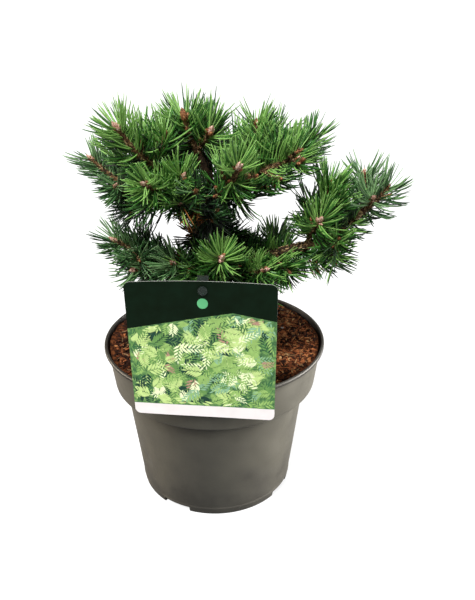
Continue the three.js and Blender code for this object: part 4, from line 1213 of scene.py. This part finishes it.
def build_needles(twigs):
    lines = bare_lines(twigs)
    names, gathered = [], []
    for number, twig in enumerate(twigs):
        parts = pairs_on(twig, np.random.default_rng(5000 + number))
        clear = clear_needles(*parts[:4], lines, np.random.default_rng(8000 + number))
        names.extend([twig["mass"]] * int(clear.sum()))
        gathered.append([part[clear] for part in parts])
    feet, start, end, sizes, axis, lift = (np.concatenate(parts) for parts in zip(*gathered))
    middles = feet + sizes[:, None] * (start * 0.6 + (end - start) * 0.18)
    draw = np.random.default_rng(31)
    light = light_reaching(middles)
    tones = {sign: pick_tones(names, light, lift, unit(start + end), middles, draw) for sign in (-1, 1)}
    spread = math.tan(math.radians(PAIR_ANGLE / 2))
    for piece_name, masses in NEEDLE_PIECES.items():
        piece = Joined()
        mine = np.isin(names, masses)
        for sign in (-1, 1):
            points = needle_shapes(
                feet[mine] + axis[mine] * PAIR_GAP * sign,
                unit(start[mine] + axis[mine] * spread * sign),
                unit(end[mine] + axis[mine] * spread * 0.6 * sign),
                sizes[mine] * (1 + 0.03 * sign),
                axis[mine] * sign,
            )
            piece.add_many(points, NEEDLE_TRIANGLES, tones[sign][mine])
        nodes = [f"{mass}_needles" for mass in masses]
        built = piece.build(piece_name, NEEDLES)
        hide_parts(*nodes)
    built = sheaths(feet, start, axis).build("needle_sheaths", [SHEATH])


def sheaths(feet, start, axis):
    """The short papery sleeve at the foot of each pair of needles."""
    side = np.cross(start, axis)
    angles = angles_round(3)
    around = axis[:, None] * (np.cos(angles) * 1.5)[:, None] + side[:, None] * np.sin(angles)[:, None]
    low = feet[:, None] - start[:, None] * 0.6 + around * 0.66
    high = feet[:, None] + start[:, None] * SHEATH_LENGTH + around * 0.56
    end = (feet + start * (SHEATH_LENGTH + 0.3))[:, None]
    piece = Joined()
    triangles = np.concatenate([grid_triangles(2, 3), fan(6, np.arange(3, 6))])
    piece.add_many(np.concatenate([low, high, end], 1), triangles)
    return piece


# ---------------------------------------------------------------- pot
POT_SEGMENTS = 180
OUTLINE_STEP = 5.0
BASE_RING_PROUD = 0.3
THIN_WALL = 1.1  # the moulded wall as it shows, thinner than the solids' wall
LIP_TOP = 2.7
DENT = (-147.0, 44.0, 1.3, 9.0)  # bearing, height, depth and radius of a knock in the pot's side
WAVER = 0.35  # how far the wall strays from true, over stretches of WAVER_LENGTH
WAVER_LENGTH = 45
POT_TONES = ((0.1, "23221f"), (0.3, "2c2b27"), (0.5, "302f2a"), (0.75, "35342f"))
# The lip and the inside take darker copies of the pot's plastic: painted shade on the rim and painted shadow
# down the inner wall.
LIP_PAINTED_SHADE_TONES = ((0.1, "11110f"), (0.3, "161513"), (0.5, "1a1917"), (0.75, "1f1e1b"))
INSIDE_PAINTED_SHADOW_TONES = ((0.1, "040303"), (0.3, "060505"), (0.5, "080706"), (0.75, "0c0a09"))
BOX_SIDES = ((0, 1, 3, 2), (4, 6, 7, 5), (0, 4, 5, 1), (2, 3, 7, 6), (0, 2, 6, 4), (1, 5, 7, 3))


def body_radius(z):
    return lerp(BODY_BOTTOM_RADIUS, BODY_TOP_RADIUS, z / (POT_HEIGHT - COLLAR_HEIGHT))


def collar_radius(z):
    return lerp(COLLAR_BOTTOM_RADIUS, COLLAR_TOP_RADIUS, (z - POT_HEIGHT + COLLAR_HEIGHT) / COLLAR_HEIGHT)


def rounded_outline(corners, spacing):
    """Corners of (r, z, fillet radius) as a line with arcs, and points no further apart than spacing."""
    line = []
    for i, (r, z, fillet) in enumerate(corners):
        here = np.array([r, z], float)
        if fillet:
            back = unit(np.array(corners[i - 1][:2], float) - here)
            ahead = unit(np.array(corners[i + 1][:2], float) - here)
            reach = fillet / math.tan(math.acos(np.clip(back @ ahead, -1, 1)) / 2)
            first, last = here + back * reach, here + ahead * reach
            for t in np.linspace(0, 1, 6):
                line.append((1 - t) ** 2 * first + 2 * t * (1 - t) * here + t**2 * last)
        else:
            line.append(here)
    dense = [line[0]]
    for point in line[1:]:
        start = dense[-1]
        steps = max(1, int(np.linalg.norm(point - start) / spacing))
        dense.extend(lerp(start, point, k / steps) for k in range(1, steps + 1))
    return np.array(dense)


def pot_outline():
    """The pot's half section, from under its floor up the outside and down the inside."""
    foot = POT_HEIGHT - COLLAR_HEIGHT
    lip = POT_HEIGHT - LIP_HEIGHT
    inner = foot + POT_WALL
    under_lip = lip - 4
    corners = (
        (0, 0, 0),
        (body_radius(0) - 0.4, 0, 0.8),
        (body_radius(0) + BASE_RING_PROUD, 1.2, 1.0),
        (body_radius(BASE_RING_HEIGHT) + BASE_RING_PROUD, BASE_RING_HEIGHT - 1.5, 0.8),
        (body_radius(BASE_RING_HEIGHT), BASE_RING_HEIGHT, 0.8),
        (body_radius(foot), foot, 1.6),
        (collar_radius(foot), foot, 2.6),
        (collar_radius(lip), lip, 1.2),
        (LIP_RADIUS, lip + 0.4, 1.3),
        (LIP_RADIUS, POT_HEIGHT, 1.9),
        (LIP_RADIUS - LIP_TOP, POT_HEIGHT, 0.8),
        (collar_radius(under_lip) - THIN_WALL, under_lip, 1.5),
        (collar_radius(inner) - THIN_WALL, inner, 1.0),
        (body_radius(inner) - POT_WALL, inner, 1.0),
        (body_radius(POT_FLOOR) - POT_WALL, POT_FLOOR, 1.5),
        (0, POT_FLOOR, 0),
    )
    return rounded_outline(corners, OUTLINE_STEP)


def make_pot():
    outline = pot_outline()
    angle = angles_round(POT_SEGMENTS)
    outward = np.stack([np.cos(angle), np.sin(angle), 0 * angle], -1)
    r, z = outline[1:-1, 0][:, None, None], outline[1:-1, 1][:, None, None]
    points = outward * r + UP * z
    bearing, height, depth, size = DENT
    centre = direction(bearing, 0) * body_radius(height) + UP * height
    away = np.linalg.norm(points - centre, axis=-1, keepdims=True)
    points = points - outward * depth * np.exp(-((away / size) ** 2))
    waver = value_noise(points.reshape(-1, 3), WAVER_LENGTH, 12).reshape(away.shape) - 0.5
    points = points + outward * WAVER * waver * ((z > 2) & (z < POT_HEIGHT - LIP_HEIGHT))

    count = len(points) * POT_SEGMENTS
    ring = np.arange(POT_SEGMENTS)
    ends = [fan(count, ring[::-1]), fan(count + 1, ring + count - POT_SEGMENTS)]
    triangles = np.concatenate([grid_triangles(len(points), POT_SEGMENTS), *ends])
    row = triangles.min(1) // POT_SEGMENTS
    first_of_lip = np.argmax(outline[:, 0] > LIP_RADIUS - 0.6) - 1
    first_inside = len(outline) - 2 - np.argmax(outline[::-1, 1] > POT_HEIGHT - 0.6)
    hubs = UP * outline[[0, -1], 1][:, None]
    pot = Joined()
    # Slots 1 and 2 are painted shade on the lip and painted shadow inside the pot.
    slots = (row >= first_of_lip).astype(int) + (row >= first_inside)
    pot.add(np.concatenate([points.reshape(-1, 3), hubs]), triangles, slots)
    materials = [
        pot_material("moulded_plastic", 0.32, POT_TONES),
        pot_material("pot_lip_painted_shade", 0.14, LIP_PAINTED_SHADE_TONES),
        pot_material("pot_inside_painted_shadow", 0.05, INSIDE_PAINTED_SHADOW_TONES),
    ]
    piece = pot.build("pot_shell", materials)
    cut_notches(piece)
    piece.data.set_sharp_from_angle(angle=math.radians(40))
    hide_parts("pot")


def cut_notches(piece):
    """Cuts the drain notches through the base ring, as the solids have them."""
    cutter = Joined()
    for bearing in NOTCH_BEARINGS:
        out, across = direction(bearing, 0), direction(bearing + 90, 0)
        middle = out * (BODY_BOTTOM_RADIUS + 2)
        corners = [
            middle + out * NOTCH_DEPTH * x + across * NOTCH_WIDTH / 2 * y + UP * NOTCH_HEIGHT * z
            for x in (-1, 1)
            for y in (-1, 1)
            for z in (-1, 1)
        ]
        cutter.add(corners, [half for a, b, c, d in BOX_SIDES for half in ((a, b, c), (a, c, d))])
    tool = cutter.build("notch_cutter", [], smooth=False)
    cut = piece.modifiers.new("notches", "BOOLEAN")
    cut.operation = "DIFFERENCE"
    cut.solver = "EXACT"
    cut.object = tool
    bpy.context.view_layer.update()
    result = bpy.data.meshes.new_from_object(piece.evaluated_get(bpy.context.evaluated_depsgraph_get()))
    piece.modifiers.clear()
    piece.data = result
    bpy.data.objects.remove(tool)


def painted_shade_low(item, noise):
    """The noise with less of it towards the pot's foot: painted shade, darker towards the bottom."""
    nodes, links = item.node_tree.nodes, item.node_tree.links
    place = nodes.new("ShaderNodeTexCoord")
    split = nodes.new("ShaderNodeSeparateXYZ")
    fall = nodes.new("ShaderNodeMapRange")
    set_inputs(fall, From_Max=0.08, To_Min=-0.4, To_Max=0.0)
    total = nodes.new("ShaderNodeMath")
    total.operation = "ADD"
    links.new(place.outputs["Object"], split.inputs["Vector"])
    links.new(split.outputs["Z"], fall.inputs["Value"])
    links.new(noise.outputs["Fac"], total.inputs[0])
    links.new(fall.outputs["Result"], total.inputs[1])
    return total


def pot_material(name, specular, tones):
    item, shader = new_material(name, 0.46, specular)
    noise = painted_shade_low(item, noise_node(item, 28, 5))
    ramp_colour(item, shader, noise, tones)
    ramp_roughness(item, shader, noise_node(item, 60, 6), 0.4, 0.54)
    bump(item, shader, noise_node(item, 1500, 2), 0.00005)
    return item


# ---------------------------------------------------------------- mulch
MULCH_RINGS, MULCH_SPOKES = 60, 160
MULCH_EDGE = collar_radius(SOIL_LEVEL) - THIN_WALL - 0.2
MULCH_DEPTH = 5.0
# The size and height of lumps and of crumbs, and how far the rough top lies lower in all.
LUMP_SIZE, LUMP_HEIGHT = 8, 2.8
CRUMB_SIZE, CRUMB_HEIGHT = 3, 1.3
ROUGH_DROP = 1.6
# The mulch is banked up towards the wall: from this radius, over this reach, and how high.
BANK_FROM, BANK_REACH, BANK_HEIGHT = 62.0, 40.0, 6.4
PEAT_TONES = ((0.3, "1a0e07"), (0.5, "43220f"), (0.7, "6d3f22"))
CHIP_COLOURS = ("7a4225", "ac653a", "bc7c4a", "331a0e", "cda06c", "94704c", "f2eee6")
# How often each colour comes up, and how often where the light is shut out, which is left of SHADED_TO.
CHIP_SHARES = (0.26, 0.19, 0.11, 0.31, 0.06, 0.07, 0.0)
SHADED_SHARES = (0.18, 0.04, 0.01, 0.73, 0.0, 0.04, 0.0)
SHADED_TO = -45.0
# Name, number, and least and greatest length and width.
CHIP_KINDS = (
    ("bark_chips", 3900, (3.0, 10.0), (1.1, 3.9)),
    ("bark_fibres", 2000, (7.0, 19.0), (0.6, 1.5)),
)
TRUNK_FOOT_RADIUS = 11.0
BY_WALL, SHORT_BY_WALL = 8, 0.6  # how near the wall chips are shorter, and how much
PALE_GRAINS = ((46.0, -62.0), (-60.0, 52.0), (70.0, 30.0))
# Stations along a chip, its width at each against its full width, and its end faces.
CHIP_AT = np.array([-0.5, -0.2, 0.15, 0.5])
CHIP_WIDTHS = np.array([0.35, 1.0, 0.85, 0.25])
CHIP_TRIANGLES = np.concatenate([grid_triangles(4, 4), [(0, 2, 1), (0, 3, 2), (12, 13, 14), (12, 14, 15)]])


def soft_height(points):
    """The solids' humps, with their step at the trunk smoothed, and banked up towards the wall."""
    x, y = points[:, 0], points[:, 1]
    r = np.hypot(x, y)
    fade = np.clip((r - SOIL_FLAT_RADIUS) / 10, 0, 1)
    waves = np.sin(x / 17 + 1.3) * np.cos(y / 21 - 0.4) + 0.6 * np.sin((x + y) / 11)
    bank = np.clip((r - BANK_FROM) / BANK_REACH, 0, 1)
    return SOIL_LEVEL + 0.6 * SOIL_RELIEF * waves * fade + BANK_HEIGHT * bank * bank * (3 - 2 * bank)


def make_mulch():
    r = MULCH_EDGE * np.sqrt(np.linspace(0.0004, 1, MULCH_RINGS))[:, None]
    angle = angles_round(MULCH_SPOKES)
    flat = np.stack([r * np.cos(angle), r * np.sin(angle), 0 * r * angle], -1).reshape(-1, 3)
    lumps, crumbs = value_noise(flat, LUMP_SIZE, 21), value_noise(flat, CRUMB_SIZE, 22)
    rough = LUMP_HEIGHT * lumps + CRUMB_HEIGHT * crumbs - ROUGH_DROP
    points = flat + UP * (soft_height(flat) + rough)[:, None]
    edge = len(points) - MULCH_SPOKES
    wall = points[edge:] * (1, 1, 0) + UP * (SOIL_LEVEL - MULCH_DEPTH)
    hubs = UP * np.array([[SOIL_LEVEL - MULCH_DEPTH - 1], [points[:MULCH_SPOKES, 2].mean()]])
    low = len(points) + MULCH_SPOKES
    ring = np.arange(MULCH_SPOKES)
    triangles = (
        grid_triangles(MULCH_RINGS, MULCH_SPOKES)[:, ::-1],
        grid_triangles(2, MULCH_SPOKES)[:, ::-1] + edge,
        fan(low, ring[::-1] + len(points)),
        fan(low + 1, ring),
    )
    mulch = Joined()
    mulch.add(np.concatenate([points, wall, hubs]), np.concatenate(triangles))
    ground = mottled("peat", 0.95, 260, PEAT_TONES, 0.0012, 0.1)
    piece = mulch.build("mulch_bed", [ground])
    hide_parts("soil")
    scatter_chips()


def scatter_chips():
    draw = np.random.default_rng(77)
    materials = [
        mottled(f"bark_chip_{i + 1}", 0.85, 500, ((0.3, shade(code, 0.6)), (0.7, code)), 0.0005, 0.15)
        for i, code in enumerate(CHIP_COLOURS)
    ]
    for name, count, lengths, widths in CHIP_KINDS:
        chips = Joined()
        radius = (MULCH_EDGE - 3.0) * np.sqrt(draw.uniform(0, 1, count))
        bearing = draw.uniform(0, 2 * math.pi, count)
        spots = np.stack([radius * np.cos(bearing), radius * np.sin(bearing), 0 * radius], -1)
        spots = spots[np.linalg.norm(spots[:, :2] - TRUNK_STATIONS[0][1:3], axis=1) > TRUNK_FOOT_RADIUS]
        heights = soft_height(spots) + 0.6 * draw.uniform(0, 1, len(spots))
        heights += 1.2 * value_noise(spots, LUMP_SIZE, 21)
        for spot, height in zip(spots, heights):
            by_wall = np.hypot(*spot[:2]) > MULCH_EDGE - BY_WALL
            length = draw.uniform(*lengths) * (SHORT_BY_WALL if by_wall else 1)
            add_chip(chips, spot + UP * height, length, draw.uniform(*widths), draw)
        if name == "bark_chips":
            for x, y in PALE_GRAINS:
                spot = np.array([[x, y, 0.0]])
                centre = spot[0] + UP * (soft_height(spot)[0] + 2.5)
                add_chip(chips, centre, 4.0, 3.2, draw, len(CHIP_COLOURS) - 1)
        piece = chips.build(name, materials, smooth=False)


def add_chip(piece, centre, length, width, draw, tone=None):
    """One splinter or curl of bark: a thin bent strip with a ragged outline."""
    heading = direction(draw.uniform(0, 360), draw.normal(0, 17 if width > 1.5 else 9))
    side = unit(np.cross(heading, UP + draw.normal(0, 0.35, 3)))
    top = np.cross(side, heading)
    thick = draw.uniform(0.4, 0.9)
    bend = draw.normal(0, 0.22) * length
    widths = width * CHIP_WIDTHS * draw.uniform(0.7, 1.2, 4)
    arch = draw.uniform(-0.06, 0.12) * length * (1 - (2 * CHIP_AT) ** 2)
    line = centre + heading * (CHIP_AT * length)[:, None] + top * arch[:, None]
    line = line + side * (bend * CHIP_AT**2)[:, None]
    half = side[None] * (widths / 2)[:, None]
    lift = top[None] * thick / 2
    rings = np.stack([line - half + lift, line + half + lift, line + half - lift, line - half - lift], 1)
    if tone is None:
        shares = SHADED_SHARES if centre[0] < SHADED_TO else CHIP_SHARES
        tone = int(draw.choice(len(CHIP_COLOURS), p=shares))
    piece.add(rings, CHIP_TRIANGLES, tone)


# ---------------------------------------------------------------- picture card and its stake
HEADER, PICTURE, STRIP, BACK = range(4)
STRIP_TOP = -CARD_HEIGHT / 2 + 11.0
# Where the header ends and the picture begins: stations across the card, and the height at each.
PEAK_X = 26.0
EDGE_AT = (-CARD_WIDTH / 2, PEAK_X, CARD_WIDTH / 2)
EDGE_HEIGHTS = (20.8, 37.0, 31.0)
# How far the bent card's corners stand from a flat rectangle's, across and up: at the top left, top
# right, foot left and foot right, and how far its top edge arches between them.
CARD_CORNERS = ((-2.5, -0.9), (0.6, 2.2), (0.3, -1.0), (0.3, -0.6))
CARD_ARCH = 2.2
# Name, roughness, mottles a metre, tones, relief and specular level, by slot.
CARD_LOOKS = (
    ("card_header", 0.4, 90, ((0.3, "091409"), (0.7, "0c1b10")), 0.00002, 0.03),
    ("card_picture", 0.35, 240, ((0.3, "25452f"), (0.5, "527a48"), (0.68, "86a85c")), 0.00002, 0.1),
    ("card_strip", 0.4, 90, ((0.3, "d6d0cf"), (0.7, "ddd7d6")), 0.00002, 0.1),
    ("card_back", 0.5, 90, ((0.3, "8f918b"), (0.7, "9b9c96")), 0.00003, 0.2),
)
# The print's leaf colours, and how often each comes up, from the ground layer to the top one.
PRINT_COLOURS = ("3c6a42", "66904e", "93b768", "bdd688", "e4efc0", "1f3f33", "b08a78", "86b08c")
PRINT_LAYERS = (
    (110, (0.3, 0.2, 0.05, 0.0, 0.0, 0.35, 0.0, 0.1)),
    (120, (0.15, 0.25, 0.25, 0.1, 0.05, 0.1, 0.02, 0.08)),
    (130, (0.03, 0.12, 0.25, 0.28, 0.2, 0.03, 0.04, 0.05)),
)
SPRIG_LEAVES = 11
LEAF_ANGLE = math.radians(44)
# A leaf's outline, along it and across it, for a length of 1.
LEAF = np.array([(0, 0), (0.3, -0.13), (0.65, -0.11), (1, 0), (0.65, 0.11), (0.3, 0.13)])
SIDE_MARGIN, EDGE_MARGIN = 0.6, 0.3  # bare rims of the picture at the card's sides and at its edges
DOT_X, DOT_Z, DOT_RADIUS = 1.7, 44.5, 4.4


def header_edge(x):
    """Height on the card where the dark header ends and the picture begins."""
    return np.interp(x, EDGE_AT, EDGE_HEIGHTS)


def card_edge(x):
    """Half the card's height at x, rounded at the corners."""
    over = np.clip(np.abs(x) - (CARD_WIDTH / 2 - CARD_CORNER_RADIUS), 0, CARD_CORNER_RADIUS)
    return CARD_HEIGHT / 2 - CARD_CORNER_RADIUS + np.sqrt(CARD_CORNER_RADIUS**2 - over**2)


def on_card(points):
    """Card coordinates (x, towards the viewer from the back, z) to the frame's."""
    across = points[:, 0] / CARD_WIDTH + 0.5
    upwards = points[:, 2] / CARD_HEIGHT + 0.5
    top_left, top_right, foot_left, foot_right = np.array(CARD_CORNERS)
    top = lerp(top_left, top_right, across[:, None])
    foot = lerp(foot_left, foot_right, across[:, None])
    shift = lerp(foot, top, upwards[:, None])
    arch = CARD_ARCH * 4 * across * (1 - across) * np.clip(upwards, 0, 1) ** 3
    bow = 0.6 * np.sin(across * 4.5 + 0.4) * np.clip(0.6 - upwards, 0, 1)
    x = points[:, 0] + shift[:, 0] + CARD_CENTRE_X
    y = CARD_BACK_Y - points[:, 1] - np.clip(bow, 0, 1)
    z = points[:, 2] + shift[:, 1] + arch + CARD_CENTRE_Z
    turn = math.radians(CARD_BEARING)
    turned = (x * math.cos(turn) - y * math.sin(turn), x * math.sin(turn) + y * math.cos(turn), z)
    return np.stack(turned, -1)


def make_card():
    left = CARD_CORNER_RADIUS * (1 - np.cos(np.linspace(0, math.pi / 2, 7))) - CARD_WIDTH / 2
    to_peak = np.linspace(left[-1], PEAK_X, 16)[1:]
    from_peak = np.linspace(PEAK_X, -left[-1], 8)[1:]
    x = np.concatenate([left, to_peak, from_peak, -left[-2::-1]])
    top, edge, strip = card_edge(x), header_edge(x), np.full(len(x), STRIP_TOP)
    bands = ((-top, strip, 3, STRIP), (strip, edge, 10, PICTURE), (edge, top, 6, HEADER))
    heights, slots = [], []
    for low, high, steps, slot in bands:
        heights.extend(lerp(low, high, k / steps) for k in range(steps))
        slots.extend([slot] * steps)
    heights = np.array([*heights, top])
    flat = np.stack([np.broadcast_to(x, heights.shape), 0 * heights, heights], -1).reshape(-1, 3)
    index = np.arange(heights.size).reshape(heights.shape)
    rim = np.concatenate([index[0], index[1:, -1], index[-1, -2::-1], index[-2:0:-1, 0]])
    sides = np.concatenate([rim, rim + heights.size])[grid_triangles(2, len(rim))]
    faces = grid_triangles(*heights.shape, wrap=False)
    front_slots = np.tile(np.repeat(slots, len(x) - 1), 2)
    plain = np.full(len(faces) + len(sides), BACK)
    card = Joined()
    card.add(
        on_card(np.concatenate([flat, flat + (0, CARD_THICKNESS, 0)])),
        np.concatenate([faces + heights.size, faces[:, ::-1], sides]),
        np.concatenate([front_slots, plain]),
    )
    piece = card.build("picture_card_print", [mottled(*look) for look in CARD_LOOKS], smooth=False)
    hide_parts("picture_card")
    make_sprigs()
    make_dot()


def make_sprigs():
    """A generic print of leafy sprigs: thin raised leaves on stalks."""
    draw = np.random.default_rng(63)
    materials = [
        mottled(f"print_{i + 1}", 0.35, 300, ((0.3, shade(code, 0.9)), (0.7, code)), 0.00002, 0.1)
        for i, code in enumerate(PRINT_COLOURS)
    ]
    sprigs = Joined()
    for layer, (count, shares) in enumerate(PRINT_LAYERS):
        chances = np.array(shares) / sum(shares)
        for _ in range(count):
            root = np.array([draw.uniform(-60, 60), draw.uniform(STRIP_TOP + 1, max(EDGE_HEIGHTS))])
            heading = draw.uniform(0, 2 * math.pi)
            tone = int(draw.choice(len(PRINT_COLOURS), p=chances))
            bend = draw.uniform(-0.5, 0.5)
            stem, size = draw.uniform(9, 19), draw.uniform(5, 9)
            level = 0.02 + 0.07 * layer + draw.uniform(0, 0.06)
            for k in range(SPRIG_LEAVES):
                t = (k + 1) / SPRIG_LEAVES
                lean = LEAF_ANGLE * (-1) ** k if k < SPRIG_LEAVES - 1 else 0
                foot = root + stem * t * flat_direction(heading + bend * t / 2)
                add_leaf(sprigs, foot, heading + bend * t + lean, size * (1.05 - 0.5 * t), level, tone)
    piece = sprigs.build("leaf_print", materials, smooth=False)


def make_dot():
    """The plain round dot printed in the header."""
    dot = Joined()
    angle = angles_round(40)
    ring = np.stack([DOT_X + DOT_RADIUS * np.cos(angle), DOT_Z + DOT_RADIUS * np.sin(angle)], -1)
    add_prism(dot, ring, 0.08, 0)
    ink = mottled("dot_print", 0.4, 90, ((0.3, "4f9a68"), (0.7, "5aa873")), 0.00002, 0.1)
    piece = dot.build("card_dot", [ink], smooth=False)


def flat_direction(angle):
    return np.array([math.cos(angle), math.sin(angle)])


def add_leaf(piece, foot, angle, length, height, slot):
    """A pointed leaf of six corners, left out where it would leave the picture."""
    along = flat_direction(angle)
    across = along[::-1] * (-1, 1)
    outline = foot + length * (LEAF[:, :1] * along + LEAF[:, 1:] * across)
    inside = np.abs(outline[:, 0]) < CARD_WIDTH / 2 - SIDE_MARGIN
    inside &= outline[:, 1] > STRIP_TOP + EDGE_MARGIN
    inside &= outline[:, 1] < header_edge(outline[:, 0]) - EDGE_MARGIN
    if inside.all():
        add_prism(piece, outline, height, slot)


def add_prism(piece, outline, height, slot):
    """A thin closed plate on the card's front."""
    n = len(outline)
    levels = [CARD_THICKNESS - 0.1, CARD_THICKNESS + height]
    points = np.array([[x, y, z] for y in levels for x, z in outline])
    k = np.arange(1, n - 1)
    top = np.stack([0 * k, k, k + 1], -1) + n
    low = np.stack([0 * k, k + 1, k], -1)
    piece.add(on_card(points), np.concatenate([grid_triangles(2, n), top, low]), slot)


def make_stake():
    item, shader = new_material("clear_stake_plastic", 0.2, 0.3)
    set_inputs(shader, Base_Color=srgb("5d6f66"), Transmission_Weight=0.9, IOR=1.25)
    bump(item, shader, noise_node(item, 120, 2), 0.00004)
    node = frame["nodes"]["card_stake"]
    node.data.materials.clear()
    node.data.materials.append(item)
    edge = node.modifiers.new("soft_edges", "BEVEL")
    edge.width = 0.35 * MM
    edge.segments = 2
    edge.limit_method = "ANGLE"
    edge.angle_limit = math.radians(35)


# ---------------------------------------------------------------- studio
WORLD_STRENGTH = 0.2
FLOOR_HALF = 40.0
FLOOR_CORNERS = [(FLOOR_HALF * x, FLOOR_HALF * y, 0) for x, y in ((-1, -1), (1, -1), (1, 1), (-1, 1))]
# Name, where it stands, power and angular size in degrees.
SUNS = (("key", (-0.5, -0.8, 1.5), 4.6, 16), ("crest", (0.3, 0.5, 1.5), 1.0, 30))
# Name, where it stands, power, size in metres, tint, and whether it lights only the pot.
SOFT_BOXES = (
    ("left", (-1.1, 0.15, 0.3), 6, 0.8, (1.0, 0.92, 0.8), False),
    ("right", (1.1, 0.2, 0.3), 7, 0.8, (1.0, 0.99, 0.96), False),
    ("pot_left", (-0.9, 0.05, 0.4), 38, 0.7, (1.0, 0.86, 0.68), True),
    ("pot_right", (0.9, 0.05, 0.4), 82, 0.7, (1.0, 0.95, 0.88), True),
    ("pot_front", (0.26, -0.62, 0.74), 21, 0.45, (1.0, 0.98, 0.94), True),
)
CAMERA_LENS = 42.0
CAMERA_PITCH = 25.7
FOLIAGE_NAMES = ("needles_", "needle_sheaths", "twigs", "bark_scales", "buds", "bough_bark")


def add_lamp(name, kind, place, power, aim):
    lamp = bpy.data.lights.new(name, kind)
    lamp.energy = power
    holder = bpy.data.objects.new(name, lamp)
    holder.location = place
    holder.rotation_euler = (Vector(aim) - Vector(place)).to_track_quat("-Z", "Y").to_euler()
    bpy.context.scene.collection.objects.link(holder)
    return lamp


def make_studio():
    scene = bpy.context.scene
    mesh = bpy.data.meshes.new("floor")
    mesh.from_pydata(FLOOR_CORNERS, [], [(0, 1, 2, 3)])
    floor = bpy.data.objects.new("floor", mesh)
    scene.collection.objects.link(floor)
    item, shader = new_material("pale_floor", 0.9, 0.0)
    set_inputs(shader, Base_Color=(0.22, 0.22, 0.22, 1), Emission_Color=(1, 1, 1, 1), Emission_Strength=0.86)
    mesh.materials.append(item)

    world = bpy.data.worlds.new("studio")
    scene.world = world
    world.use_nodes = True
    set_inputs(world.node_tree.nodes["Background"], Color=(1, 1, 1, 1), Strength=WORLD_STRENGTH)

    for name, place, power, spread in SUNS:
        lamp = add_lamp(name, "SUN", place, power, (0, 0, 0))
        lamp.angle = math.radians(spread)
    for name, place, power, size, tint, _ in SOFT_BOXES:
        lamp = add_lamp(name, "AREA", place, power, (0, 0, 0.15))
        lamp.size = size
        lamp.color = tint

    camera = bpy.data.cameras.new("camera")
    camera.lens = CAMERA_LENS
    camera.sensor_width = 36.0
    camera.sensor_fit = "AUTO"
    camera.clip_start = 0.01
    camera.clip_end = 100
    holder = bpy.data.objects.new("camera", camera)
    holder.location = VIEWPOINT * MM
    holder.rotation_euler = (math.radians(90 - CAMERA_PITCH), 0, 0)
    scene.collection.objects.link(holder)
    scene.camera = holder
    scene.view_settings.view_transform = "Standard"


def share_lights():
    """The bright floor lights the mulch and card but not the foliage; some boxes light only the pot."""
    by_floor = bpy.data.collections.new("lit_by_floor")
    for item in bpy.context.scene.objects:
        if item.type == "MESH" and not item.name.startswith(FOLIAGE_NAMES) and item.name != "pot_shell":
            by_floor.objects.link(item)
    bpy.data.objects["floor"].light_linking.receiver_collection = by_floor
    pot_only = bpy.data.collections.new("pot_only")
    pot_only.objects.link(bpy.data.objects["pot_shell"])
    for name, *_, only_pot in SOFT_BOXES:
        if only_pot:
            bpy.data.objects[name].light_linking.receiver_collection = pot_only


make_studio()
make_wood()
all_masses = grow_masses()
all_twigs = make_twigs(all_masses)
build_twigs(all_twigs)
build_needles(all_twigs)
make_pot()
make_mulch()
make_card()
make_stake()
share_lights()
